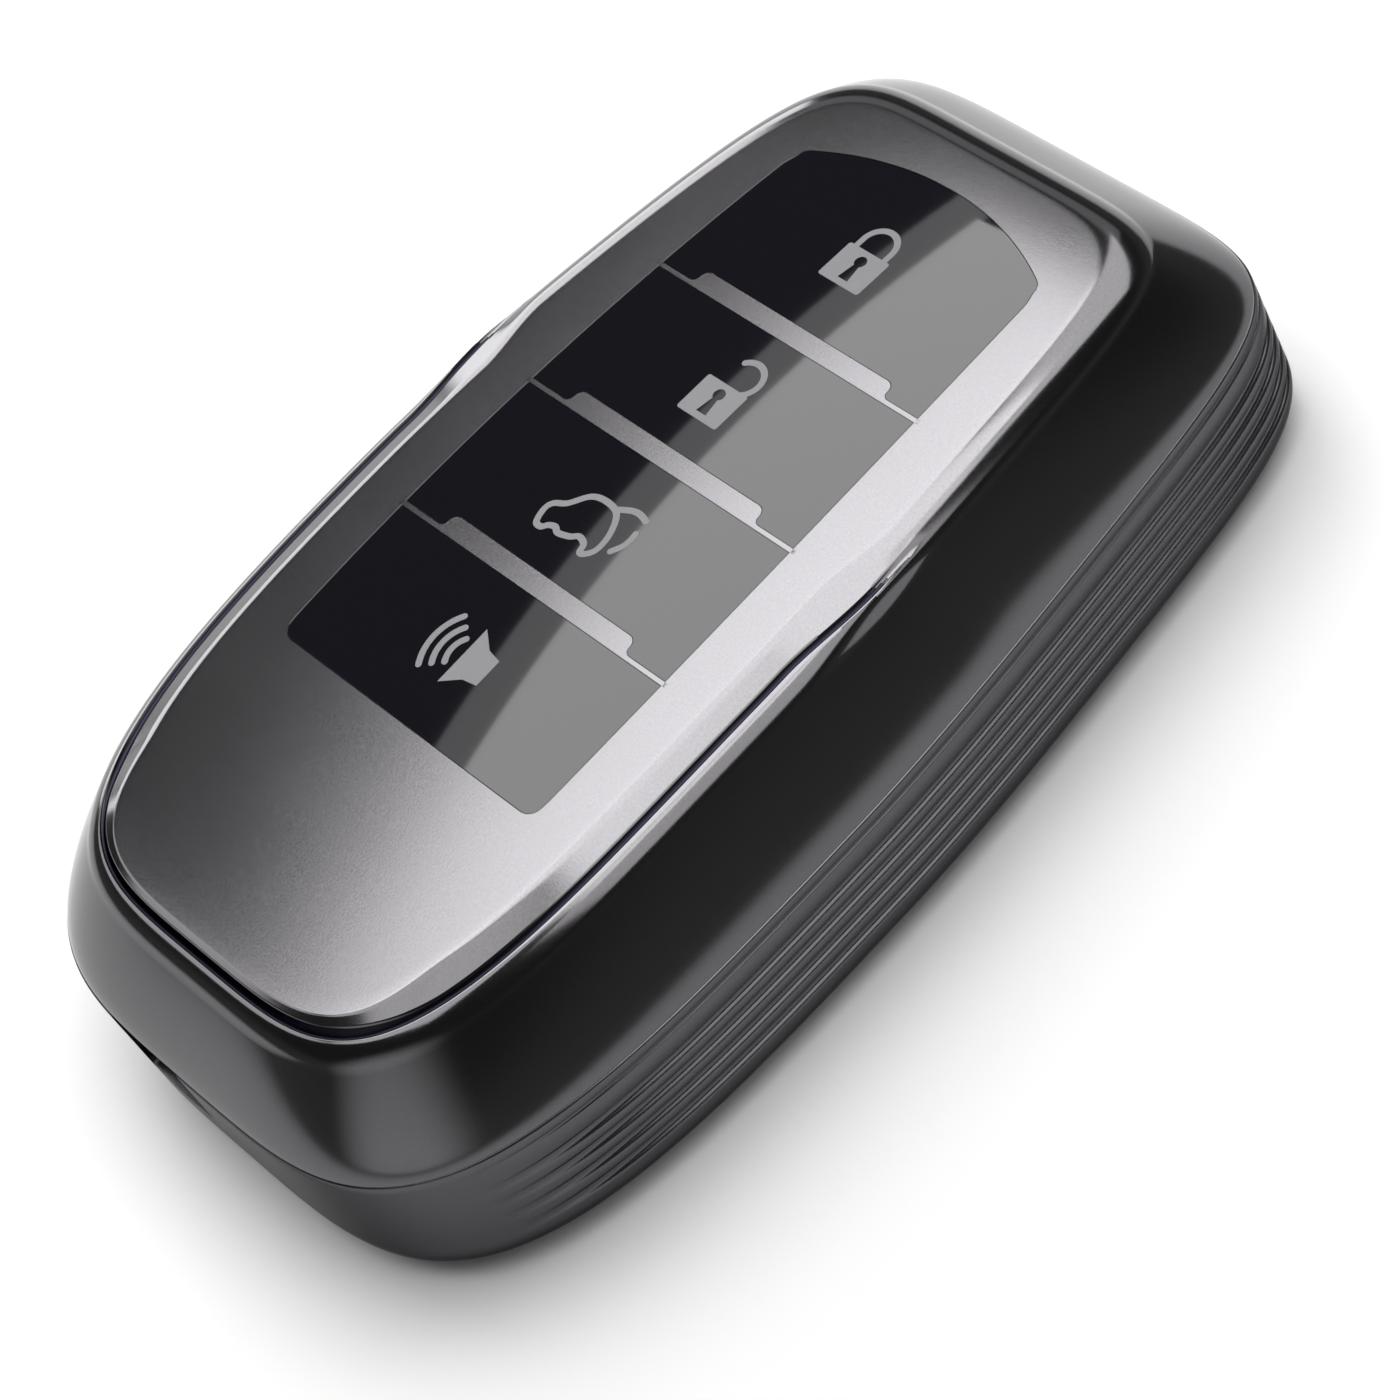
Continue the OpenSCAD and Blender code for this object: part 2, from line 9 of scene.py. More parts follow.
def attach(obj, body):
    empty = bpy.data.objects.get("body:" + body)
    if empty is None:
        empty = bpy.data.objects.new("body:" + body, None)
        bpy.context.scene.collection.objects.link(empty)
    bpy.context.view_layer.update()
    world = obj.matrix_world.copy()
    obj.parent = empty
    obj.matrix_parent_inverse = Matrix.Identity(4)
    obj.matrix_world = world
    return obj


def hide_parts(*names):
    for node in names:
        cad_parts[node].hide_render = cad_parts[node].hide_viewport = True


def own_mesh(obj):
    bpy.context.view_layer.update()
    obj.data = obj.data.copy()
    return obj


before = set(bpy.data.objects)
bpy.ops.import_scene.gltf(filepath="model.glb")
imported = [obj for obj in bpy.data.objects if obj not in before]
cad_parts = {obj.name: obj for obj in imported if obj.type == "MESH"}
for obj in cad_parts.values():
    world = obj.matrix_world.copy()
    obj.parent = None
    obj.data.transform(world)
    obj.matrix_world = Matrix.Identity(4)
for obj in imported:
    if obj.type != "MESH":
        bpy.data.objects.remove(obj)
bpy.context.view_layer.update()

# A cover for a key fob: front and rear shells, four keys with inlays, and what holds them inside.
# Sizes are in millimetres up to the functions that make meshes, lamps and the camera.
MM = 0.001

# Outline and face of the cover
BODY_L = 80
NEAR_W = 46.2
FAR_W = 41.6
FACE_Z = 20.3
FACE_R = 370
APEX_Y = -5.5
SPLIT_Z = 11.5
WALL_T = 1.8
NEAR_POWER = 3.9
FAR_POWER = 6.3
NEAR_SQUARING = 4
TAPER_Y = -3.5
TAPER_L = 38
NEAR_END_SHARE = 1.04

# Front cover: wall, rim, groove and rolled edge
EDGE_IN = 0.1
WALL_POWER = 1.2
TOP_ANGLE = 30
RIM_ANGLE = 65
RIM_IN = 5.05
RIM_R = 2.6
RIM_DROP = 0.75
GROOVE_IN = 5.4
GROOVE_W = 0.56
GROOVE_D = 0.25
GROOVE_POWER = 0.8
# Painted shade in the groove's bottom: how far across the groove's steps it reaches, and how fast it narrows
# past the shoulders
GROOVE_DARK = 0.8
GROOVE_FADE = 2.5
ROLL_W = 1.7
ROLL_SLOPE = 26
ROLL_FLAT = 0.65
NEAR_ROLL_SHARE = 0.25
NEAR_ROLL_L = 6
SHOULDER_R = 2.8
SHOULDER_IN = 6.3
SHOULDER_Y = 6.5
SHOULDER_L = 7.5
FLARE_OUT = 0.8
FLARE_Y = -1
FLARE_L = 10
ROOF_T = 3.2
CEILING_Z = FACE_Z - ROOF_T
LIP_H = 1.2
LIP_Z = SPLIT_Z - LIP_H
LIP_IN = WALL_T / 2
LIP_GAP = 0.1
LIP_BEVEL = 0.15
SPLIT_BEVEL = 0.08
INNER_NEAR = 4.2
INNER_FAR = 3.9
INNER_ROUND = 0.8
INNER_BEND_IN = 0.35
INNER_BEND_UP = 0.45

# Steps along the tongue's profile, where its rim, groove and rolled edge begin and end, and the angles on the
# shoulder's arc that these steps run out to
RIM_END = 2
GROOVE_START = 3
GROOVE_END = 5
ROLL_END = 8
GROOVE_MIDDLE = (GROOVE_START + GROOVE_END) / 2
SHOULDER_ANGLES = (TOP_ANGLE, 36, 42, 46, 50, 55, 65, 77, 90)

# Rear cover: foot, ribs, fine line and floor
FLOOR_T = 1.5
FLOOR_ROUND = 1.5
FOOT_R = 3.2
RIB_COUNT = 4
RIB_PITCH = 1.55
RIB_W = 0.8
RIB_D = 0.28
RIB_DROP = 3
RIB_FADE_Y = 6 - BODY_L / 2
RIB_FADE_L = 12
LINE_DROP = 0.95
LINE_SHARE = 0.4
EDGE_BEVEL = 0.2
REAR_LIP_BEVEL = 0.1

# Section of a rib's groove, in shares of half its width: its rings, flat bottom and slanting sides
RIB_RINGS = (-1.25, -1, -0.8, -0.6, -0.35, 0, 0.35, 0.6, 0.8, 1, 1.25)
RIB_BOTTOM = 0.45
RIB_SIDE = 0.75

# Key panel
PANEL_Y = -16.4
PANEL_W = 24.717
BARREL_Y = -5
BARREL_R = 384
KEY_PITCH = 11
LOCK_L = 14.32
PANEL_FAR_Y = PANEL_Y + 3 * KEY_PITCH + LOCK_L
ARCH_R = 22.5
CORNER_R = 1
BAR_W = 0.32
BAR_BURY = 0.3
TAB_W = 17.2
TAB_H = 1.1
TAB_R = 0.6
TAB_FOOT_R = 0.45
KEY_GAP = 0.02
KEY_ROUND = 0.015
DIVIDER_GAP = 0.02
WINDOW_ROUND = 0.02
KEY_SINK = 0.01
FLANGE_PLAY = 0.1
FLANGE_T = 0.55
FLANGE_TOP = CEILING_Z - FLANGE_PLAY
FLANGE_Z = FLANGE_TOP - FLANGE_T
FLANGE_W = 0.6
FLANGE_IN = 0.4
FLANGE_FAR_IN = 0.6
FLANGE_ROUND = 0.12
OVERLAP = 0.05
PIN_R = 1.6
PIN_CHAMFER = 0.3
PIN_FLOAT = 0.1
DOME_H = 1
DOME_R = 3.6
DOME_T = 0.45
MAT_TOP = FLANGE_Z - DOME_H
MAT_T = 0.5
PLATE_T = 0.6
PLATE_Z = MAT_TOP - MAT_T - PLATE_T

# Icons: those named SHARE are parts of the symbol's own size
ICON_LINE = 0.44
ICON_RAISE = 0.012
ICON_DEPTH = 0.15
ICON_STEP = 0.003
PADLOCK_W = 3.6
PADLOCK_H = 2.9
PADLOCK_ROUND = 0.18
KEYHOLE_SHARE = 0.12
KEYHOLE_TOP_SHARE = 0.21
KEYHOLE_FOOT_SHARE = 0.34
SHACKLE_R = 1.26
OPEN_SHACKLE_SHARES = (0.38, 0.72)
OPEN_SHACKLE_TURNS = (-55, 135)
SHACKLE_SINK = 0.001
CAR_W = 5.5
CAR_DROP_SHARE = 0.15
HORN_H = 2.16
WAVE_R = HORN_H * 0.7
WAVE_PITCH = 0.86
WAVE_TURNS = (142, 218)
HORN_X = -0.3
CAR_X = -1.05
PADLOCK_X = -0.45

# Key ring slot
SLOT_X = -4.5
SLOT_W = 7
SLOT_H = 5.6
SLOT_ROUND = 0.5
SLOT_PAST_WALL = 0.6
CUT_PAST = 1
LIP_CUT_GAP = 0.02

# Pads: each level of their sides has an inset and a share of the side's height
PAD_T = 0.7
PAD_POWER = 7
PAD_PULL = 0.015
PAD_EDGE_SHARE = 0.62
PAD_SIDE = ((0.35, 0), (0.1, 0.12), (0, 0.5), (0.06, 0.85), (0.2, 1))
PAD_CROWN_REACH = 0.97
PAD_CROWN_POWER = 2.2
PLATE_NEAR_Y = PANEL_Y - 6.6
PLATE_FAR_Y = PANEL_FAR_Y + 3.4
PLATE_PAD = (12, 3)
PLATE_PAD_IN = 1 + PLATE_PAD[1] / 2
REAR_PAD = (28.4, 54)
REAR_PAD_Y = 1

# Screw bosses, the ring post's boss and the web over the post
BOSS_IN = 0.53
BOSS_OUT = 1.2
BOSS_CLEAR = 0.25
BOSS_BEVEL = 0.08
BURY = 0.35
FAR_SCREW = (9.9, PANEL_FAR_Y + 1.2)
MID_SCREW = (PANEL_W / 2 + FLANGE_W + BOSS_OUT + BOSS_CLEAR, PANEL_Y + 1.5 * KEY_PITCH)
NEAR_SCREW = (9.6, PANEL_Y - 4.2)
POST_Y = 4.6 - BODY_L / 2
POST_HOLE_R = 1.02
POST_BOSS_R = 2.1
POST_BOSS_H = 1.2
WEB_W = 2.8
WEB_NEAR = 1.7
WEB_FAR = 5.7
WEB_H = 3
WEB_GAP = 0.3
WEB_ROUND = 0.1

# Fineness of the meshes
RING_N = 640
RIM_RINGS = 9
GROOVE_RINGS = 11
ROLL_RINGS = 19
FACE_RINGS = 15
FOOT_RINGS = 13
FLOOR_RINGS = 8
CROWN_RINGS = 14
WALL_SHARES = np.concatenate([[0, 0.008], np.linspace(0.03, 1, 26)[:-1]])
PAD_SIDES = 160
ROUND_SIDES = 72
BOSS_SIDES = 64
FLOOR_SIDES = 96
EDGE_RINGS = 4
CORNER_STEPS = 8
ARCH_STEPS = 30
NEAR_EDGE_STEPS = 40
SAME_POINT = 0.004
OFFSET_SLACK = 0.985
SLICE = 0.8
SLICE_SNAP = 1e-6
ICON_WELD = 1e-4
SHARP_ANGLE = 38
SLAB_SHARP_ANGLE = 12
ARCH_NORMAL = 0.98

KEYS = ("alarm", "tailgate", "unlock", "lock")


def ease(share):
    """A soft step from 0 to 1."""
    clipped = np.clip(share, 0, 1)
    return clipped * clipped * (3 - 2 * clipped)


def mix(a, b, share):
    return a + (b - a) * share


def face_at(y):
    """Height of the arched face at a place along the cover."""
    return FACE_Z - FACE_R + np.sqrt(FACE_R**2 - (y - APEX_Y) ** 2)


def half_width(y):
    """Half the cover's width at a place along it; it tapers to the far end."""
    return mix(NEAR_W, FAR_W, ease((y - TAPER_Y) / TAPER_L)) / 2


TURN = np.arange(RING_N) * 2 * math.pi / RING_N
AROUND_X = np.cos(TURN)
AROUND_Y = np.sin(TURN)


def outline(inset):
    """The cover's outline seen from above, moved in by inset: x and y of each ring point."""
    low = AROUND_Y < 0
    power = np.where(low, NEAR_POWER + NEAR_SQUARING * inset / BODY_L, FAR_POWER)
    half_w = NEAR_W / 2 - inset
    half_l = BODY_L / 2 - inset * np.where(low, NEAR_END_SHARE, 1)
    reach = (np.abs(AROUND_X / half_w) ** power + np.abs(AROUND_Y / half_l) ** power) ** (-1 / power)
    y = reach * AROUND_Y
    return reach * AROUND_X * (half_width(y) - inset) / half_w, y


OUTER_Y = outline(0)[1]
PAST_SHOULDER = ease((OUTER_Y - SHOULDER_Y) / SHOULDER_L)
FLARED = ease((OUTER_Y - FLARE_Y) / FLARE_L)
RIB_SHARE = ease((OUTER_Y - RIB_FADE_Y) / RIB_FADE_L)
ROLL_SHARE = mix(NEAR_ROLL_SHARE, 1, ease((OUTER_Y + BODY_L / 2) / NEAR_ROLL_L))


def ring(inset, z):
    """One ring of points; z is a height, or a drop below the face when it is given as a function."""
    x, y = outline(inset)
    height = z(y) if callable(z) else np.full(RING_N, float(z))
    return np.stack([x, y, height], 1)


def tongue_profile():
    """Inset and drop below the face of the rim, the groove and the rolled edge, with each point's step."""
    points = []
    for share in np.linspace(0, 1, RIM_RINGS):
        turn = math.radians(mix(TOP_ANGLE, RIM_ANGLE, share))
        inset = RIM_IN + RIM_R * (math.cos(math.radians(RIM_ANGLE)) - math.cos(turn))
        drop = RIM_DROP + RIM_R * (math.sin(math.radians(RIM_ANGLE)) - math.sin(turn))
        points.append((inset, drop, RIM_END * share))
    places = np.linspace(0, 1, ROLL_RINGS)
    slopes = np.tan(np.radians(ROLL_SLOPE * (1 - ease((places - ROLL_FLAT) / (1 - ROLL_FLAT)))))
    falls = (slopes[1:] + slopes[:-1]) / 2 * ROLL_W * np.diff(places)
    drops = np.append(np.cumsum(falls[::-1])[::-1], 0)
    for share in np.linspace(0, 1, GROOVE_RINGS):
        depth = GROOVE_D * math.sin(math.pi * share) ** GROOVE_POWER
        drop = mix(RIM_DROP, drops[0] * ROLL_SHARE, ease(share)) + depth
        points.append((GROOVE_IN + GROOVE_W * (share - 0.5), drop, mix(GROOVE_START, GROOVE_END, share)))
    for place, drop in zip(places[1:], drops[1:]):
        inset = GROOVE_IN + GROOVE_W / 2 + ROLL_W * place * ROLL_SHARE
        points.append((inset, drop * ROLL_SHARE, mix(GROOVE_END, ROLL_END, place)))
    return points


def shoulder_point(step):
    """Inset and drop past the shoulders, at the step of the tongue's profile that it grows out of."""
    turn = math.radians(np.interp(step, range(ROLL_END + 1), SHOULDER_ANGLES))
    return SHOULDER_IN - SHOULDER_R * math.cos(turn), SHOULDER_R * (1 - math.sin(turn))


def skin_rings():
    """Rings from the top of the wall to the tip of the rolled edge, all round the cover."""
    rings = []
    for near_in, near_drop, step in tongue_profile():
        far_in, far_drop = shoulder_point(step)
        drop = mix(near_drop, far_drop, PAST_SHOULDER)
        flare = np.interp(step, (0, RIM_END, GROOVE_END, ROLL_END), (0, 1, 1, 0))
        flared_in = near_in - FLARE_OUT * flare * FLARED
        rings.append(ring(mix(flared_in, far_in, PAST_SHOULDER), lambda y: face_at(y) - drop))
    return rings


def side_x(y):
    """Half the key panel's width; its long sides are slightly curved."""
    return PANEL_W / 2 - (y - BARREL_Y) ** 2 / (2 * BARREL_R)


def arc(middle, radius, start, end, count):
    """Points on an arc, with angles in degrees."""
    turns = np.radians(np.linspace(start, end, count + 1))
    return [(middle[0] + radius * math.cos(t), middle[1] + radius * math.sin(t)) for t in turns]


def mirrored(points):
    return [(-x, y) for x, y in reversed(points)]


def line_y(i):
    """Middle of the divider before a key."""
    return PANEL_Y + i * KEY_PITCH


def low_y(i):
    """Near edge of a key's window."""
    return PANEL_Y if i == 0 else line_y(i) + BAR_W / 2


def high_y(i):
    """Far edge of a key's window, where another key follows."""
    return line_y(i + 1) - BAR_W / 2


def key_y(i):
    """Middle of a key, where its pin, dome and symbol sit."""
    return low_y(3) + KEY_PITCH / 2 if i == 3 else (low_y(i) + high_y(i)) / 2


def near_corner(grow):
    """The panel's near right corner, with the outline grown by a margin."""
    radius = CORNER_R + grow
    y = PANEL_Y - grow
    return arc((side_x(y) + grow - radius, y + radius), radius, -90, 0, CORNER_STEPS)


def arched_end(grow):
    """The right half of the panel's arched far end."""
    radius = CORNER_R + grow
    x = side_x(PANEL_FAR_Y - CORNER_R) + grow - radius
    big = ARCH_R + grow
    middle = PANEL_FAR_Y - ARCH_R
    rise = math.sqrt((big - radius) ** 2 - x * x)
    turn = math.degrees(math.atan2(rise, x))
    corner = arc((x, middle + rise), radius, 0, turn, CORNER_STEPS)
    return corner + arc((0, middle), big, turn, 90, ARCH_STEPS)


def long_side(y0, y1, grow):
    """Points along the panel's right side."""
    count = max(2, round((y1 - y0) / SLICE))
    return [(side_x(y) + grow, y) for y in np.linspace(y0, y1, count + 1)]


def tab_half(i, grow):
    """Right half of the thick middle of a divider, from its foot up."""
    x = TAB_W / 2 + grow
    foot = low_y(i)
    top = foot + TAB_H + grow
    hollow = arc((x + TAB_FOOT_R, foot + TAB_FOOT_R), TAB_FOOT_R, 270, 180, 5)
    return hollow + arc((x - TAB_R, top - TAB_R), TAB_R, 0, 90, 7)


def panel_outline(grow):
    """The whole key panel, from the middle of its near edge to the left."""
    corner = near_corner(grow)
    end = arched_end(grow)
    near_edge = [(x, corner[0][1]) for x in np.linspace(0, corner[0][0], NEAR_EDGE_STEPS)[:-1]]
    right = near_edge + corner + long_side(corner[-1][1], end[0][1], grow)[1:-1] + end
    return right + mirrored(right)[1:-1]


def key_outline(i):
    """Outline of a key's cap, notched round its divider's tab."""
    grow = -KEY_GAP
    y0, y1 = low_y(i) + KEY_GAP, high_y(i) - KEY_GAP
    right = near_corner(grow) if i == 0 else [(side_x(y0) + grow, y0)]
    end = arched_end(grow) if i == 3 else [(side_x(y1) + grow, y1)]
    right += long_side(right[-1][1], end[0][1], grow)[1:-1] + end
    left = mirrored(right)
    notch = []
    if i > 0:
        half = [(x, max(y, y0)) for x, y in tab_half(i, KEY_GAP)]
        notch = drop_repeats(mirrored(half)[::-1] + half[::-1])
    return drop_repeats(right + left + notch)


def drop_repeats(points):
    """An outline without points that fall on the one before."""
    kept = []
    for p in points:
        if not kept or math.dist(p, kept[-1]) > SAME_POINT:
            kept.append(p)
    if math.dist(kept[0], kept[-1]) < SAME_POINT:
        kept.pop()
    return kept


def divider_outline(i):
    """A divider seen from above: a thin bar with a thick middle."""
    y = line_y(i)
    reach = side_x(y) + BAR_BURY
    right = [(reach, y - BAR_W / 2), (reach, y + BAR_W / 2)] + tab_half(i, 0)
    return drop_repeats(right + mirrored(right))


PANEL_MIDDLE = (PANEL_Y + PANEL_FAR_Y) / 2


def around_panel(like, grow, z):
    """The panel's outline, met by rays from its middle through the points of another ring."""
    edge = np.array(panel_outline(grow))
    edge_turn = np.arctan2(edge[:, 1] - PANEL_MIDDLE, edge[:, 0])
    edge_reach = np.hypot(edge[:, 0], edge[:, 1] - PANEL_MIDDLE)
    turn = np.arctan2(like[:, 1] - PANEL_MIDDLE, like[:, 0])
    reach = np.interp(turn, edge_turn, edge_reach, period=2 * math.pi)
    x, y = reach * np.cos(turn), PANEL_MIDDLE + reach * np.sin(turn)
    height = z(y) if callable(z) else np.full(len(x), float(z))
    return np.stack([x, y, height], 1)


def follow_arch(mesh):
    """Gives the corners of a slab's top the normals of the arched face."""
    normals = [corner.vector.copy() for corner in mesh.corner_normals]
    for polygon in mesh.polygons:
        if polygon.normal.z > ARCH_NORMAL and polygon.center.z > CEILING_Z * MM:
            for corner in polygon.loop_indices:
                y = mesh.vertices[mesh.loops[corner].vertex_index].co.y / MM
                normals[corner] = Vector((0, (y - APEX_Y) / FACE_R, 1)).normalized()
    mesh.normals_split_custom_set(normals)


def piece(name, mesh, body, slot, materials, *nodes, sharp=SHARP_ANGLE, arched=False):
    """Shades a mesh, gives it its materials and hangs it on its body in place of CAD nodes."""
    obj = bpy.data.objects.new(name, mesh)
    bpy.context.scene.collection.objects.link(obj)
    for material in materials:
        mesh.materials.append(material)
    mesh.shade_smooth()
    mesh.set_sharp_from_angle(angle=math.radians(sharp))
    if arched:
        follow_arch(mesh)
    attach(obj, body)
    if nodes:
        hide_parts(*nodes)
    return obj


def loft(name, rings, looped, inside_rings=0):
    """A skin through rings of equal length; the first rings may take the second material."""
    count = len(rings)
    size = len(rings[0])
    verts = np.concatenate(rings) * MM
    faces = []
    inside = []
    for j in range(count if looped else count - 1):
        low, high = j * size, (j + 1) % count * size
        for i in range(size):
            k = (i + 1) % size
            faces.append((low + i, low + k, high + k, high + i))
            inside.append(j < inside_rings)
    if not looped:
        faces.append(tuple(range(size - 1, -1, -1)))
        faces.append(tuple(range((count - 1) * size, count * size)))
        inside += [inside_rings > 0, False]
    mesh = bpy.data.meshes.new(name)
    mesh.from_pydata(verts.tolist(), [], faces)
    mesh.polygons.foreach_set("material_index", [int(flag) for flag in inside])
    bm = bmesh.new()
    bm.from_mesh(mesh)
    bmesh.ops.recalc_face_normals(bm, faces=bm.faces)
    bm.to_mesh(mesh)
    bm.free()
    return mesh


def rounded_block(name, low, high, radius):
    """A box with rounded edges, for flanges, webs and cutters."""
    bm = bmesh.new()
    bmesh.ops.create_cube(bm, size=1)
    for v in bm.verts:
        v.co = Vector([mix(low[k], high[k], v.co[k] + 0.5) * MM for k in range(3)])
    if radius:
        bmesh.ops.bevel(bm, geom=bm.edges[:], offset=radius * MM, segments=4, profile=0.5, affect="EDGES")
    mesh = bpy.data.meshes.new(name)
    bm.to_mesh(mesh)
    bm.free()
    return mesh


def cut_away(mesh, cutter):
    """Takes the cutter's shape out of a mesh."""
    scene = bpy.context.scene
    solid = bpy.data.objects.new("being_cut", mesh)
    knife = bpy.data.objects.new("knife", cutter)
    scene.collection.objects.link(solid)
    scene.collection.objects.link(knife)
    boolean = solid.modifiers.new("cut", "BOOLEAN")
    boolean.object = knife
    boolean.operation = "DIFFERENCE"
    boolean.solver = "EXACT"
    bpy.context.view_layer.update()
    result = bpy.data.meshes.new_from_object(solid.evaluated_get(bpy.context.evaluated_depsgraph_get()))
    result.name = mesh.name
    bpy.data.objects.remove(solid)
    bpy.data.objects.remove(knife)
    return result


def front_cover_mesh():
    """The front shell as one skin: inside, lip, wall, tongue, face and window."""
    skin = skin_rings()
    tip = skin[-1]
    face = []
    edge = around_panel(tip, WINDOW_ROUND, face_at)
    for share in np.linspace(0, 1, FACE_RINGS)[1:]:
        blend = mix(tip, edge, share)
        blend[:, 2] = face_at(blend[:, 1])
        face.append(blend)
    brink = [around_panel(tip, 0, lambda y: face_at(y) - WINDOW_ROUND)]
    drop_in = [around_panel(tip, 0, CEILING_Z)]
    inner_depth = mix(INNER_NEAR, INNER_FAR, PAST_SHOULDER)
    inside = [
        ring(WALL_T + inner_depth * (1 + INNER_ROUND / INNER_FAR), CEILING_Z),
        ring(WALL_T + inner_depth, CEILING_Z - INNER_ROUND),
        ring(WALL_T + inner_depth * INNER_BEND_IN, mix(SPLIT_Z, CEILING_Z, INNER_BEND_UP)),
        ring(WALL_T, SPLIT_Z),
        ring(WALL_T, LIP_Z + LIP_BEVEL),
        ring(WALL_T + LIP_BEVEL, LIP_Z),
    ]
    lip = [ring(LIP_IN + LIP_BEVEL, LIP_Z), ring(LIP_IN, LIP_Z + LIP_BEVEL), ring(LIP_IN, SPLIT_Z)]
    top = skin[0]
    wall = []
    near_in = tongue_profile()[0][0]
    far_in = shoulder_point(0)[0]
    top_in = mix(near_in, far_in, PAST_SHOULDER)
    for share in WALL_SHARES:
        bevel = SPLIT_BEVEL if share == 0 else 0
        x, y = outline(mix(EDGE_IN, top_in, share**WALL_POWER) + bevel)
        wall.append(np.stack([x, y, mix(SPLIT_Z, top[:, 2], share)], 1))
    rings = inside + lip + wall + skin + face + brink + drop_in
    mesh = loft("front_cover", rings, looped=True, inside_rings=len(inside) + 1)
    # The groove's bottom gets a near-black material as painted shade
    paint_groove_shade(mesh, len(inside + lip + wall))
    return mesh


def paint_groove_shade(mesh, first_ring):
    """Paints shade into the bottom of the groove: a near-black material for the groove's shadow, in a line
    that narrows and ends at the shoulders.
    """
    index = np.zeros(len(mesh.polygons), dtype=np.int32)
    mesh.polygons.foreach_get("material_index", index)
    steps = [step for _, _, step in tongue_profile()]
    for j, (above, below) in enumerate(zip(steps, steps[1:])):
        dark = abs((above + below) / 2 - GROOVE_MIDDLE) < GROOVE_DARK * (1 - GROOVE_FADE * PAST_SHOULDER)
        start = (first_ring + j) * RING_N
        index[start:start + RING_N][dark] = 2
    mesh.polygons.foreach_set("material_index", index)


def hoops(middle, profile, count):
    """Round rings about an upright axis, one for each radius and height of a profile."""
    turns = np.arange(count) * 2 * math.pi / count
    across, along = np.cos(turns), np.sin(turns)
    return [np.stack([middle[0] + r * across, middle[1] + r * along, np.full(count, float(z))], 1)
            for r, z in profile]


def turned(name, middle, profile, count=ROUND_SIDES):
    """A turned solid: its profile runs from the lower flat to the upper one."""
    return loft(name, hoops(middle, profile, count), looped=False)


def tube(name, middle, inner_r, outer_r, low, high):
    """A round boss with a hole through it."""
    profile = [(inner_r, low), (outer_r - BOSS_BEVEL, low), (outer_r, low + BOSS_BEVEL), (outer_r, high),
               (inner_r, high)]
    return loft(name, hoops(middle, profile, BOSS_SIDES), looped=True)


def pad_mesh(name, middle, size, rest_z, height):
    """A soft pad: flat where it rests, crowned on its other face, with its sides pulled in a little."""
    turns = np.arange(PAD_SIDES) * 2 * math.pi / PAD_SIDES
    half_w, half_l = size[0] / 2, size[1] / 2
    reach = (np.abs(np.cos(turns)) ** PAD_POWER + np.abs(np.sin(turns)) ** PAD_POWER) ** (-1 / PAD_POWER)
    u, v = reach * np.cos(turns), reach * np.sin(turns)
    u, v = u * (1 - PAD_PULL * (1 - v**2)), v * (1 - PAD_PULL * (1 - u**2))
    side = PAD_EDGE_SHARE * height

    def level(inset, keep, rise):
        x, y = middle[0] + u * (half_w - inset) * keep, middle[1] + v * (half_l - inset) * keep
        return np.stack([x, y, np.full(PAD_SIDES, rest_z + rise)], 1)

    rings = [level(inset, 1, share * side) for inset, share in PAD_SIDE]
    for share in np.linspace(0, 1, CROWN_RINGS)[1:]:
        keep = 1 - PAD_CROWN_REACH * share
        rings.append(level(PAD_SIDE[-1][0], keep, side + (height - side) * (1 - keep**PAD_CROWN_POWER)))
    return loft(name, rings, looped=False)


def groove_rings(z, size):
    """Rings down and up one groove of the ribbed band."""
    rings = []
    for place in RIB_RINGS:
        share = 1 - ease((abs(place) - RIB_BOTTOM) / RIB_SIDE)
        rings.append(ring(size * RIB_D * share * RIB_SHARE, z + place * size * RIB_W / 2))
    return rings


def rear_cover_mesh():
    """The rear shell as one skin: foot, ribs, fine line, lip and floor."""
    rings = []
    for turn in np.radians(np.linspace(0, 90, FOOT_RINGS)):
        rings.append(ring(FOOT_R * (1 - math.sin(turn)), FOOT_R * (1 - math.cos(turn))))
    for k in reversed(range(RIB_COUNT)):
        rings += groove_rings(SPLIT_Z - RIB_DROP - k * RIB_PITCH, 1)
    rings += groove_rings(SPLIT_Z - LINE_DROP, LINE_SHARE)
    for turn in np.radians(np.linspace(0, 90, EDGE_RINGS)):
        rings.append(ring(EDGE_BEVEL * (1 - math.cos(turn)), SPLIT_Z - EDGE_BEVEL * (1 - math.sin(turn))))
    outside = len(rings)
    rings += [
        ring(LIP_IN - LIP_GAP - REAR_LIP_BEVEL, SPLIT_Z),
        ring(LIP_IN - LIP_GAP, SPLIT_Z - REAR_LIP_BEVEL),
        ring(LIP_IN - LIP_GAP, LIP_Z - LIP_GAP),
        ring(WALL_T - REAR_LIP_BEVEL, LIP_Z - LIP_GAP),
        ring(WALL_T, LIP_Z - LIP_GAP - REAR_LIP_BEVEL),
    ]
    for turn in np.radians(np.linspace(90, 0, FLOOR_RINGS)):
        inset = WALL_T + FLOOR_ROUND * (1 - math.sin(turn))
        rings.append(ring(inset, FLOOR_T + FLOOR_ROUND * (1 - math.cos(turn))))
    return loft("rear_cover", rings[::-1], looped=False, inside_rings=len(rings) - outside)


def slice_across(bm, y0, y1):
    """Cuts a flat sheet into strips, so that it can follow the arch."""
    for y in np.arange(math.ceil(y0 / SLICE) * SLICE, y1, SLICE):
        geom = bm.verts[:] + bm.edges[:] + bm.faces[:]
        bmesh.ops.bisect_plane(bm, geom=geom, dist=SLICE_SNAP, plane_co=(0, y, 0), plane_no=(0, 1, 0))


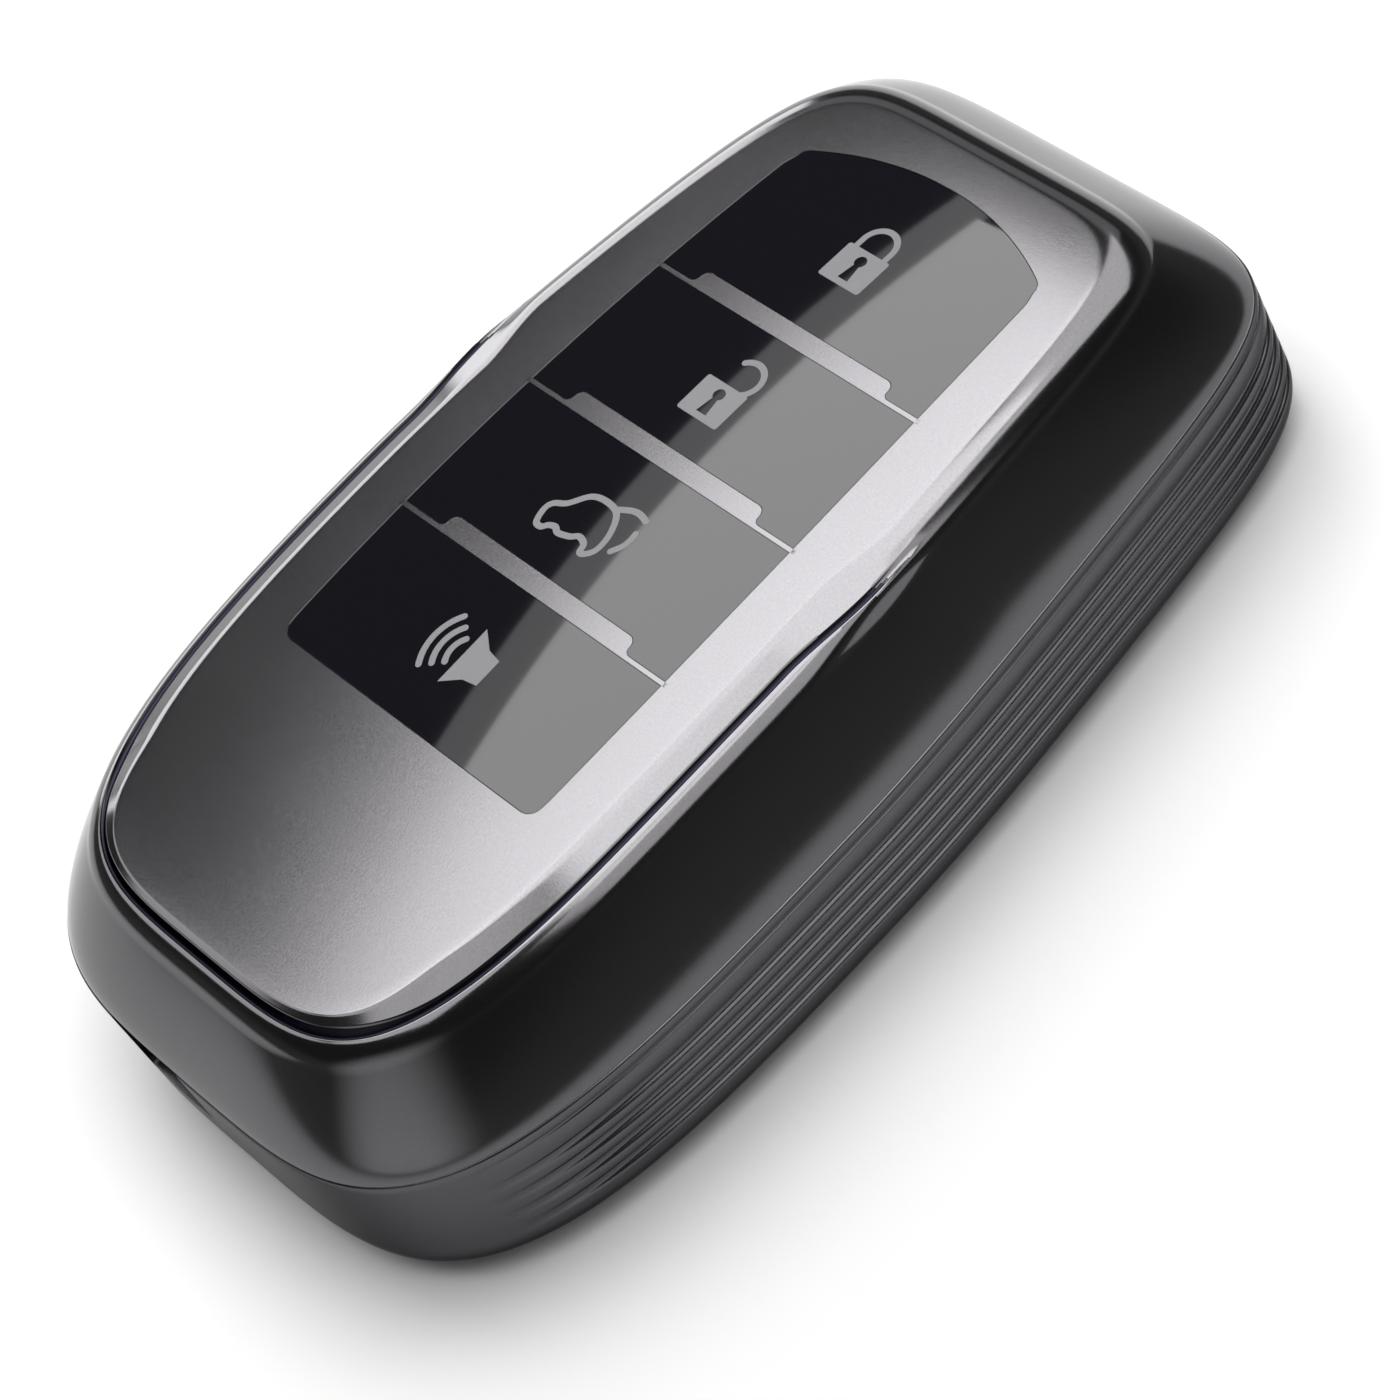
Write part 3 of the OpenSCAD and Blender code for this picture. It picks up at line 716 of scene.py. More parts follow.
def arched_slab(name, points, drop, floor_z, rounding):
    """A slab with this outline: flat below, and above following the face at a drop."""
    bm = bmesh.new()
    bm.faces.new([bm.verts.new((x, y, 0)) for x, y in points])
    ys = [y for _, y in points]
    slice_across(bm, min(ys), max(ys))
    sheet = bm.faces[:]
    grown = bmesh.ops.extrude_face_region(bm, geom=sheet)
    top = {v for v in grown["geom"] if isinstance(v, bmesh.types.BMVert)}
    for v in bm.verts:
        v.co.z = face_at(v.co.y) - drop if v in top else floor_z
    bmesh.ops.recalc_face_normals(bm, faces=bm.faces)
    brink = [e for e in bm.edges if set(e.verts) <= top and any(set(f.verts) - top for f in e.link_faces)]
    bmesh.ops.bevel(bm, geom=brink, offset=rounding, segments=3, profile=0.5, affect="EDGES",
                    clamp_overlap=True)
    bmesh.ops.scale(bm, vec=(MM, MM, MM), verts=bm.verts)
    mesh = bpy.data.meshes.new(name)
    bm.to_mesh(mesh)
    bm.free()
    return mesh


def joined(name, meshes):
    """One mesh from several."""
    bm = bmesh.new()
    for mesh in meshes:
        bm.from_mesh(mesh)
    result = bpy.data.meshes.new(name)
    bm.to_mesh(result)
    bm.free()
    return result


def key_mesh(i):
    """A cap, the flange that holds it in its window, and the pin that presses the fob's own key."""
    name = "cover_key_" + KEYS[i]
    cap = arched_slab(name, key_outline(i), KEY_SINK, FLANGE_TOP - OVERLAP, KEY_ROUND)
    near = low_y(i) + KEY_GAP
    far = PANEL_FAR_Y - FLANGE_FAR_IN if i == 3 else high_y(i) - KEY_GAP
    reach = PANEL_W / 2 + FLANGE_W - FLANGE_IN
    flange = rounded_block("flange", (-reach, near, FLANGE_Z), (reach, far, FLANGE_TOP), FLANGE_ROUND)
    tip = PLATE_Z + PIN_FLOAT
    shaft = [(PIN_R - PIN_CHAMFER, tip), (PIN_R, tip + PIN_CHAMFER), (PIN_R, FLANGE_Z + 2 * OVERLAP)]
    pin = turned("pin", (0, key_y(i)), shaft)
    return joined(name, [cap, flange, pin])


def dome_mesh(i):
    """A return dome: a slanting skirt with a collar on top."""
    waist = MAT_TOP + DOME_H / 2
    top = MAT_TOP + DOME_H
    skirt = [(DOME_R - DOME_T, MAT_TOP), (DOME_R, MAT_TOP), (DOME_R - DOME_T, waist),
             (DOME_R - 2 * DOME_T, top), (DOME_R - 3 * DOME_T, top), (DOME_R - 2 * DOME_T, waist)]
    return loft("return_dome_" + KEYS[i], hoops((0, key_y(i)), skirt, ROUND_SIDES), looped=True)


def flat_icon(name, outlines, sunk):
    """Inlay filled between closed outlines, set just proud of its key."""
    curve = bpy.data.curves.new(name, "CURVE")
    curve.dimensions = "2D"
    curve.fill_mode = "BOTH"
    curve.extrude = ICON_DEPTH / 2 * MM
    for points in outlines:
        spline = curve.splines.new("POLY")
        spline.points.add(len(points) - 1)
        for place, (x, y) in zip(spline.points, points):
            place.co = (x * MM, y * MM, 0, 1)
        spline.use_cyclic_u = True
    holder = bpy.data.objects.new(name, curve)
    bpy.context.scene.collection.objects.link(holder)
    bpy.context.view_layer.update()
    mesh = bpy.data.meshes.new_from_object(holder)
    bpy.data.objects.remove(holder)
    bm = bmesh.new()
    bm.from_mesh(mesh)
    bmesh.ops.remove_doubles(bm, verts=bm.verts, dist=ICON_WELD * MM)
    for v in bm.verts:
        top = (face_at(v.co.y / MM) - KEY_SINK + ICON_RAISE - sunk) * MM
        v.co.z = top if v.co.z > 0 else top - ICON_DEPTH * MM
    bmesh.ops.recalc_face_normals(bm, faces=bm.faces)
    bm.to_mesh(mesh)
    bm.free()
    return mesh


def moved(points, dx, dy):
    """An outline set at its place on the cover."""
    return [(x + dx, y + dy) for x, y in points]


def smooth_path(points, closed, per_span=6):
    """A soft curve through points."""
    found = []
    count = len(points)
    spans = count if closed else count - 1
    for k in range(spans):
        around = []
        for step in (-1, 0, 1, 2):
            place = (k + step) % count if closed else min(max(k + step, 0), count - 1)
            around.append(np.array(points[place]))
        a, b, c, d = around
        for t in np.arange(per_span) / per_span:
            found.append(tuple(0.5 * (2 * b + (c - a) * t + (2 * a - 5 * b + 4 * c - d) * t**2
                                      + (3 * b - a - 3 * c + d) * t**3)))
    if not closed:
        found.append(tuple(points[-1]))
    return found


def offset_path(points, shift, closed):
    """A path beside another, shifted to its left."""
    pts = np.array(points)
    if closed:
        ahead = np.roll(pts, -1, 0) - np.roll(pts, 1, 0)
    else:
        ahead = np.gradient(pts, axis=0)
    ahead /= np.linalg.norm(ahead, axis=1)[:, None]
    return [tuple(p) for p in pts + shift * np.stack([-ahead[:, 1], ahead[:, 0]], 1)]


def clean_offset(points, shift):
    """An offset of a closed path without the small loops inside its tight bends."""
    path = np.array(points)
    found = []
    for p in offset_path(points, shift, True):
        if np.min(np.hypot(path[:, 0] - p[0], path[:, 1] - p[1])) > abs(shift) * OFFSET_SLACK:
            found.append(p)
    return found


def stroke(points, width=ICON_LINE):
    """Closed outline of a line with round ends."""
    half = width / 2
    left = offset_path(points, half, False)
    right = offset_path(points, -half, False)
    found = list(left)
    for end, near in ((points[-1], left[-1]), (points[0], right[0])):
        start = math.degrees(math.atan2(near[1] - end[1], near[0] - end[0]))
        found += arc(end, half, start, start - 180, 8)[1:-1]
        if end == points[-1]:
            found += right[::-1]
    return found


def ring_part(middle, radius, start, end):
    """A bent line with round ends."""
    return stroke(arc(middle, radius, start, end, 16))


def horn_outlines():
    """The alarm symbol: a horn, in shares of half its height, and three waves."""
    throat = [(0, -1), (0, 1), (0.61, 0.55), (1.14, 0.46), (1.14, -0.46), (0.61, -0.55)]
    horn = [(x * HORN_H, y * HORN_H) for x, y in throat]
    waves = [ring_part((HORN_H / 4, 0), WAVE_R + k * WAVE_PITCH, *WAVE_TURNS) for k in range(3)]
    return [moved(shape, HORN_X, key_y(0)) for shape in [horn] + waves]


def car_outlines():
    """The tailgate symbol, in shares of its width: a car, its open tailgate and an arrow."""
    shares = [(-0.5, 0), (-0.46, 0.11), (-0.31, 0.2), (-0.15, 0.4), (0.02, 0.46), (0.24, 0.44), (0.36, 0.34),
              (0.45, 0.14), (0.46, -0.06), (0.38, -0.17), (0.31, -0.18), (0.27, -0.08), (0.15, -0.04),
              (0.05, -0.1), (-0.11, -0.14), (-0.2, -0.1), (-0.29, -0.13), (-0.35, -0.19), (-0.45, -0.17)]
    tailgate = [(0.24, 0.44), (0.42, 0.53), (0.55, 0.55), (0.68, 0.52)]
    arrow = [(0.62, 0.02), (0.69, 0.14), (0.71, 0.25), (0.7, 0.34)]
    body = smooth_path([(x * CAR_W, y * CAR_W) for x, y in shares], True)
    loops = [clean_offset(body, ICON_LINE / 2), clean_offset(body, -ICON_LINE / 2)]
    lines = [stroke(smooth_path([(x * CAR_W, y * CAR_W) for x, y in part], False))
             for part in (tailgate, arrow)]
    y = key_y(1) - CAR_W * CAR_DROP_SHARE
    return [[moved(shape, CAR_X, y) for shape in part] for part in (loops, lines)]


def padlock_outlines(opened, middle):
    """The lock symbols: a body with a keyhole, and a shackle."""
    half_w, half_h = PADLOCK_W / 2, PADLOCK_H / 2
    corner_x, corner_y = half_w - PADLOCK_ROUND, half_h - PADLOCK_ROUND
    low_corner = arc((corner_x, -corner_y), PADLOCK_ROUND, -90, 0, 5)
    high_corner = arc((corner_x, corner_y), PADLOCK_ROUND, 0, 90, 5)
    body = low_corner + high_corner + mirrored(low_corner + high_corner)
    hole_r = PADLOCK_W * KEYHOLE_SHARE
    hole_foot = -PADLOCK_H * KEYHOLE_FOOT_SHARE
    eye = arc((0, PADLOCK_H * KEYHOLE_TOP_SHARE), hole_r, -60, 240, 18)
    hole = eye + [(-hole_r, hole_foot), (hole_r, hole_foot)]
    if opened:
        right, up = OPEN_SHACKLE_SHARES
        bow = ring_part((SHACKLE_R * right, half_h + SHACKLE_R * up), SHACKLE_R, *OPEN_SHACKLE_TURNS)
    else:
        leg = SHACKLE_R / 2
        outer_r, inner_r = SHACKLE_R + ICON_LINE / 2, SHACKLE_R - ICON_LINE / 2
        outer = arc((0, half_h + leg), outer_r, 0, 180, 24)
        inner = arc((0, half_h + leg), inner_r, 180, 0, 24)
        foot = half_h - SHACKLE_SINK
        bow = [(outer_r, foot)] + outer + [(-outer_r, foot), (-inner_r, foot)] + inner + [(inner_r, foot)]
    return [[moved(shape, PADLOCK_X, middle) for shape in part] for part in ([body, hole], [bow])]


def icon_outlines(i):
    """A key's symbol, as groups of outlines that are filled together."""
    if i == 0:
        return [horn_outlines()]
    if i == 1:
        return car_outlines()
    if i == 2:
        return padlock_outlines(True, key_y(2) - PADLOCK_H / 8)
    return padlock_outlines(False, key_y(3) + PADLOCK_H / 4)


def icon_mesh(i):
    """All the strokes of a key's inlay; parts that cross lie one above the other by a hair."""
    name = "inlay_" + KEYS[i]
    return joined(name, [flat_icon(name, part, k * ICON_STEP) for k, part in enumerate(icon_outlines(i))])


def new_group(name, inputs, outputs):
    """A shader node group with named float inputs and outputs."""
    tree = bpy.data.node_groups.new(name, "ShaderNodeTree")
    for label, value in inputs:
        tree.interface.new_socket(label, in_out="INPUT", socket_type="NodeSocketFloat").default_value = value
    for label in outputs:
        tree.interface.new_socket(label, in_out="OUTPUT", socket_type="NodeSocketFloat")
    return tree, tree.nodes.new("NodeGroupInput"), tree.nodes.new("NodeGroupOutput")


def feed(tree, socket, value):
    """Links a socket to an output, or sets it to a plain value."""
    if isinstance(value, bpy.types.NodeSocket):
        tree.links.new(value, socket)
    else:
        socket.default_value = value


def math_node(tree, operation, *values):
    node = tree.nodes.new("ShaderNodeMath")
    node.operation = operation
    for socket, value in zip(node.inputs, values):
        feed(tree, socket, value)
    return node.outputs[0]


def mix_node(tree, a, b, factor, blend="MIX"):
    """A colour mixed from two."""
    node = tree.nodes.new("ShaderNodeMix")
    node.data_type = "RGBA"
    node.blend_type = blend
    feed(tree, node.inputs["Factor"], factor)
    feed(tree, node.inputs["A"], a)
    feed(tree, node.inputs["B"], b)
    return node.outputs["Result"]


def noise_node(tree, place, scale, detail, roughness):
    node = tree.nodes.new("ShaderNodeTexNoise")
    feed(tree, node.inputs["Vector"], place)
    feed(tree, node.inputs["Scale"], scale)
    feed(tree, node.inputs["Detail"], detail)
    feed(tree, node.inputs["Roughness"], roughness)
    return node.outputs["Fac"]


# Noise in the finishes: the wide grain's scale is a share of the fine one's. Edges look rubbed from a certain
# sharpness, with a gain, patches per metre and a broken look.
WIDE_GRAIN = 0.23
RUB_START = 0.53
RUB_GAIN = 12
RUB_PATCHES = 420
RUB_BREAK = 1.6


def grain_group():
    """Fine grain of a surface: a speckle round 0, and a height above 0."""
    tree, given, put = new_group("surface_grain", [("Grain per metre", 7000), ("Coarse share", 0.3)],
                                 ["Speckle", "Height"])
    place = tree.nodes.new("ShaderNodeTexCoord").outputs["Object"]
    fine = noise_node(tree, place, given.outputs["Grain per metre"], detail=3, roughness=0.6)
    wide_scale = math_node(tree, "MULTIPLY", given.outputs["Grain per metre"], WIDE_GRAIN)
    wide = noise_node(tree, place, wide_scale, detail=2, roughness=0.5)
    coarse = math_node(tree, "MULTIPLY", wide, given.outputs["Coarse share"])
    height = math_node(tree, "ADD", fine, coarse)
    speckle = math_node(tree, "SUBTRACT", fine, 0.5)
    tree.links.new(speckle, put.inputs["Speckle"])
    tree.links.new(height, put.inputs["Height"])
    return tree


def rub_group():
    """Where handling has rubbed the edges: 0 to 1, broken up by noise."""
    tree, given, put = new_group("edge_rub", [("Start", RUB_START), ("Amount", 1)], ["Rubbed"])
    place = tree.nodes.new("ShaderNodeTexCoord").outputs["Object"]
    pointed = tree.nodes.new("ShaderNodeNewGeometry").outputs["Pointiness"]
    over = math_node(tree, "SUBTRACT", pointed, given.outputs["Start"])
    steep = math_node(tree, "MULTIPLY", over, RUB_GAIN)
    patchy = noise_node(tree, place, RUB_PATCHES, detail=3, roughness=0.6)
    broken = math_node(tree, "MULTIPLY", steep, math_node(tree, "MULTIPLY", patchy, RUB_BREAK))
    limited = math_node(tree, "MINIMUM", math_node(tree, "MAXIMUM", broken, 0), 1)
    tree.links.new(math_node(tree, "MULTIPLY", limited, given.outputs["Amount"]), put.inputs["Rubbed"])
    return tree


def smudge_group():
    """Broad faint unevenness from handling and from the mould: round 0."""
    tree, given, put = new_group("smudges", [("Spots per metre", 90)], ["Smudge"])
    place = tree.nodes.new("ShaderNodeTexCoord").outputs["Object"]
    soft = noise_node(tree, place, given.outputs["Spots per metre"], detail=4, roughness=0.55)
    tree.links.new(math_node(tree, "SUBTRACT", soft, 0.5), put.inputs["Smudge"])
    return tree


GRAIN = grain_group()
RUB = rub_group()
SMUDGE = smudge_group()


def placed(tree, group, **values):
    node = tree.nodes.new("ShaderNodeGroup")
    node.node_tree = group
    for label, value in values.items():
        node.inputs[label.replace("_", " ")].default_value = value
    return node


def finish_material(name, color, rough, grain, grain_color, grain_rough, grain_depth, smudge_rough,
                    metallic=0, rub_color=None, rub_start=RUB_START, specular=0.5, sheen=0, edge_tint=1):
    """A procedural finish: grain in colour, roughness and bump, smudges in roughness, rubbed edges."""
    material = bpy.data.materials.new(name)
    material.use_nodes = True
    tree = material.node_tree
    shader = tree.nodes["Principled BSDF"]
    shader.inputs["Specular IOR Level"].default_value = specular
    shader.inputs["Sheen Weight"].default_value = sheen
    shader.inputs["Metallic"].default_value = metallic
    shader.inputs["Specular Tint"].default_value = (edge_tint, edge_tint, edge_tint, 1)
    grains = placed(tree, GRAIN, Grain_per_metre=grain)
    smudges = placed(tree, SMUDGE)
    brighter = math_node(tree, "MULTIPLY_ADD", grains.outputs["Speckle"], grain_color, 1)
    shade = tree.nodes.new("ShaderNodeCombineColor")
    for channel in ("Red", "Green", "Blue"):
        tree.links.new(brighter, shade.inputs[channel])
    painted = mix_node(tree, (*color, 1), shade.outputs[0], 1, blend="MULTIPLY")
    if rub_color:
        rubs = placed(tree, RUB, Start=rub_start)
        painted = mix_node(tree, painted, (*rub_color, 1), rubs.outputs["Rubbed"])
    tree.links.new(painted, shader.inputs["Base Color"])
    base_rough = math_node(tree, "MULTIPLY_ADD", grains.outputs["Speckle"], grain_rough, rough)
    rough_total = math_node(tree, "MULTIPLY_ADD", smudges.outputs["Smudge"], smudge_rough, base_rough)
    tree.links.new(rough_total, shader.inputs["Roughness"])
    bump = tree.nodes.new("ShaderNodeBump")
    bump.inputs["Strength"].default_value = 1
    bump.inputs["Distance"].default_value = grain_depth * MM
    tree.links.new(grains.outputs["Height"], bump.inputs["Height"])
    tree.links.new(bump.outputs["Normal"], shader.inputs["Normal"])
    return material


def paint(name, color, rough, edge_tint):
    """The metallic paint of the shells; edge_tint is how bright it stays at a grazing view."""
    return finish_material(name, color, rough, grain=7500, grain_color=0.35, grain_rough=0.06,
                           grain_depth=0.0009, smudge_rough=0.03, metallic=1, edge_tint=edge_tint)


shell_paint = paint("satin_gunmetal_paint", (0.115, 0.112, 0.117), 0.135, edge_tint=0.9)
# Near-black paint for the groove's bottom: painted shade that stands in for the shadow in the groove, not a
# paint of the real cover
groove_shade_paint = paint("painted_shade_in_the_groove", (0.012, 0.012, 0.018), 0.3, edge_tint=0.2)
rear_paint = paint("satin_dark_gunmetal_paint", (0.1, 0.098, 0.104), 0.24, edge_tint=0.4)
key_gloss = finish_material(
    "gloss_black_key", (0.003, 0.003, 0.0045), 0.02, grain=2500, grain_color=0.3, grain_rough=0,
    grain_depth=0.00001, smudge_rough=0.004, specular=0.37)
icon_silver = finish_material(
    "satin_silver_inlay", (0.1, 0.098, 0.103), 0.42, grain=9000, grain_color=0.25, grain_rough=0.1,
    grain_depth=0.001, smudge_rough=0.05, specular=0.3)
inside_plastic = finish_material(
    "bare_moulded_plastic", (0.035, 0.035, 0.038), 0.5, grain=3500, grain_color=0.3, grain_rough=0.15,
    grain_depth=0.004, smudge_rough=0.08)
silicone = finish_material(
    "matt_black_silicone", (0.03, 0.03, 0.035), 0.62, grain=4200, grain_color=0.25, grain_rough=0.1,
    grain_depth=0.003, smudge_rough=0.1)
plate_plastic = finish_material(
    "grey_plate_plastic", (0.12, 0.12, 0.13), 0.48, grain=3200, grain_color=0.25, grain_rough=0.12,
    grain_depth=0.005, smudge_rough=0.08, rub_color=(0.22, 0.22, 0.23), rub_start=0.55)
screw_steel = finish_material(
    "turned_steel", (0.55, 0.56, 0.58), 0.28, grain=5200, grain_color=0.2, grain_rough=0.1,
    grain_depth=0.0012, smudge_rough=0.08, metallic=1, rub_color=(0.72, 0.72, 0.73), rub_start=0.54)
pad_foam = finish_material(
    "soft_black_lining", (0.02, 0.02, 0.022), 0.9, grain=2600, grain_color=0.6, grain_rough=0.1,
    grain_depth=0.05, smudge_rough=0.05, sheen=0.3)


def slot_block(name, low_z, high_z, radius):
    """A cutter as wide as the key ring slot, through the near end's wall."""
    low = (SLOT_X - SLOT_W / 2, -BODY_L / 2 - CUT_PAST, low_z)
    high = (SLOT_X + SLOT_W / 2, -BODY_L / 2 + WALL_T + SLOT_PAST_WALL, high_z)
    return rounded_block(name, low, high, radius)


def front_cover():
    """The front shell, its lip taken away over the key ring slot."""
    cutter = slot_block("lip_cutter", LIP_Z - CUT_PAST, SPLIT_Z - LIP_CUT_GAP, 0)
    mesh = cut_away(front_cover_mesh(), cutter)
    # The third material is the painted shade in the groove's bottom
    materials = [shell_paint, inside_plastic, groove_shade_paint]
    piece("front_cover", mesh, "front", "shell_paint", materials, "front_shell")


def rear_cover():
    """The rear shell with its key ring slot."""
    cutter = slot_block("slot_cutter", SPLIT_Z - SLOT_H, SPLIT_Z + CUT_PAST, SLOT_ROUND)
    mesh = cut_away(rear_cover_mesh(), cutter)
    piece("rear_cover", mesh, "rear", "rear_paint", [rear_paint, inside_plastic], "rear_shell")


def divider(i):
    """The bar between two keys."""
    name = "divider_" + KEYS[i]
    bar = arched_slab(name, divider_outline(i), 0, CEILING_Z + DIVIDER_GAP, KEY_ROUND)
    piece(name, bar, "front", "shell_paint", [shell_paint], sharp=SLAB_SHARP_ANGLE, arched=True)


def cover_key(i):
    """A key cap with its flange and push pin."""
    key = KEYS[i]
    piece("cover_key_" + key, key_mesh(i), key + "_key", "key_gloss", [key_gloss], "key_" + key,
          sharp=SLAB_SHARP_ANGLE, arched=True)


def inlay(i):
    """The silver symbol of a key."""
    key = KEYS[i]
    piece("inlay_" + key, icon_mesh(i), key + "_key", "icon_silver", [icon_silver], "icon_" + key)


def return_dome(i):
    """The mat's dome under a key, which on the real fob squashes as the key goes down; here it is a fixed
    shape on a mesh of its own.
    """
    key = KEYS[i]
    dome = piece("return_dome_" + key, dome_mesh(i), "front", "silicone", [silicone], "dome_" + key)
    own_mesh(dome)


def plate_pads():
    """Two strips of lining under the retainer plate, one at each end."""
    ys = (PLATE_NEAR_Y + PLATE_PAD_IN, PLATE_FAR_Y - PLATE_PAD_IN)
    pads = [pad_mesh("plate_pad", (0, y), PLATE_PAD, PLATE_Z, -PAD_T) for y in ys]
    mesh = joined("plate_pad_pair", pads)
    pair = piece("plate_pad_pair", mesh, "front", "pad_foam", [pad_foam], "plate_pads")


def rest_pad():
    """The lining that the fob lies on."""
    mesh = pad_mesh("fob_rest_pad", (0, REAR_PAD_Y), REAR_PAD, FLOOR_T, PAD_T)
    piece("fob_rest_pad", mesh, "rear", "pad_foam", [pad_foam], "rear_pad")


def screw_bosses():
    """The six bosses that the retainer plate is screwed to."""
    bosses = [tube("boss", (side * x, y), BOSS_IN, BOSS_OUT, MAT_TOP - MAT_T, CEILING_Z + BURY)
              for x, y in (FAR_SCREW, MID_SCREW, NEAR_SCREW) for side in (-1, 1)]
    piece("screw_bosses", joined("screw_bosses", bosses), "front", "shell_paint", [inside_plastic])


def post_boss():
    """The boss that the key ring's post stands in."""
    low, high = FLOOR_T - BURY, FLOOR_T + POST_BOSS_H
    mesh = tube("post_boss", (SLOT_X, POST_Y), POST_HOLE_R, POST_BOSS_R, low, high)
    piece("post_boss", mesh, "rear", "rear_paint", [inside_plastic])


def post_web():
    """The web of the front shell that holds the post down."""
    low = (SLOT_X - WEB_W / 2, -BODY_L / 2 + WEB_NEAR, SPLIT_Z - WEB_GAP)
    high = (SLOT_X + WEB_W / 2, -BODY_L / 2 + WEB_FAR, SPLIT_Z - WEB_GAP + WEB_H)
    mesh = rounded_block("post_web", low, high, WEB_ROUND)
    piece("post_web", mesh, "front", "shell_paint", [inside_plastic])


def carried_nodes():
    """Gives the nodes that stay the source's own their materials."""
    carried = {"keypad_mat": silicone, "retainer_plate": plate_plastic, "retainer_screws": screw_steel,
               "ring_post": screw_steel}
    for node, material in carried.items():
        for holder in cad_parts[node].material_slots:
            holder.material = material


front_cover()
rear_cover()
for i in range(1, len(KEYS)):
    divider(i)
for i in range(len(KEYS)):
    cover_key(i)
    inlay(i)
    return_dome(i)
plate_pads()
rest_pad()
screw_bosses()
post_boss()
post_web()
carried_nodes()

# Camera of the photograph
CAMERA_AT = (184.788, -57.64, 228.367)
CAMERA_RIGHT = (0.643189, 0.679979, -0.352047)
CAMERA_UP = (-0.449342, 0.707463, 0.545517)
CAMERA_BACK = (0.62, -0.192681, 0.760575)
FOCAL_PIXELS = 4772.16
PHOTO_PIXELS = 1400
SENSOR_W = 36
CLIP_START = 0.01
CLIP_END = 20


def set_camera():
    """The camera that took the photograph, worked out from the cover's size."""
    data = bpy.data.cameras.new("camera")
    data.sensor_width = SENSOR_W
    data.lens = FOCAL_PIXELS / PHOTO_PIXELS * SENSOR_W
    data.clip_start = CLIP_START
    data.clip_end = CLIP_END
    camera = bpy.data.objects.new("camera", data)
    turn = Matrix((CAMERA_RIGHT, CAMERA_UP, CAMERA_BACK)).transposed().to_4x4()
    camera.matrix_world = Matrix.Translation(Vector(CAMERA_AT) * MM) @ turn
    bpy.context.scene.collection.objects.link(camera)
    bpy.context.scene.camera = camera


# How far the cards that face down are turned about their upright axis, in degrees
CARD_TURN = 10.3


def card(name, middle, size, strength, aim=None):
    """A soft card: a rectangular lamp of even brightness, facing down or towards a point."""
    data = bpy.data.lights.new(name, "AREA")
    data.shape = "RECTANGLE"
    data.size = size[0] * MM
    data.size_y = size[1] * MM
    data.energy = strength * size[0] * size[1] * MM * MM * math.pi
    lamp = bpy.data.objects.new(name, data)
    place = Vector(middle) * MM
    if aim is None:
        lamp.matrix_world = Matrix.Translation(place) @ Matrix.Rotation(math.radians(CARD_TURN), 4, "Z")
    else:
        away = (place - Vector(aim) * MM).to_track_quat("Z", "Y")
        lamp.matrix_world = Matrix.Translation(place) @ away.to_matrix().to_4x4()
    lamp.visible_camera = False
    bpy.context.scene.collection.objects.link(lamp)


def hang_cards():
    """The cards that the paint and the keys mirror, each with its middle, size and strength."""
    card("main_card", (-259.5, 110, 400), (140, 380), 6.9)
    card("edge_card", (-334, 110, 400), (9, 380), 2)
    card("top_card", (-45, 92, 400), (290, 250), 6)
    card("right_card", (160, 100, 400), (125, 250), 4.6)
    card("low_card", (362, 100, 390), (280, 300), 2.2, aim=(20, 0, 15))
    card("far_card", (-20, 370, 400), (440, 275), 3, aim=(0, 30, 15))
    card("far_left_card", (-330, 400, 270), (330, 150), 0.6, aim=(0, 30, 15))
    card("near_top_card", (-40, -142, 400), (330, 190), 2.6)
    card("near_card", (-321, -200, 310), (260, 240), 2.2, aim=(0, -30, 15))
    card("left_card", (-478, 84, 285), (365, 150), 5.5, aim=(0, 0, 10))
    card("low_left_card", (-543, 86, 125), (460, 190), 5, aim=(0, 0, 10))


# World: how steep a direction is and how bright it looks there, at the horizon and in the sky
HORIZON = (0.12, 0.15)
SKY = (0.4, 0.06)
# Soft glow that the near-right corner mirrors: its direction, where it starts and its strength
GLOW_WAY = (0.42, -0.9, 0.12)
GLOW_START = 0.82
GLOW_STRENGTH = 0.9


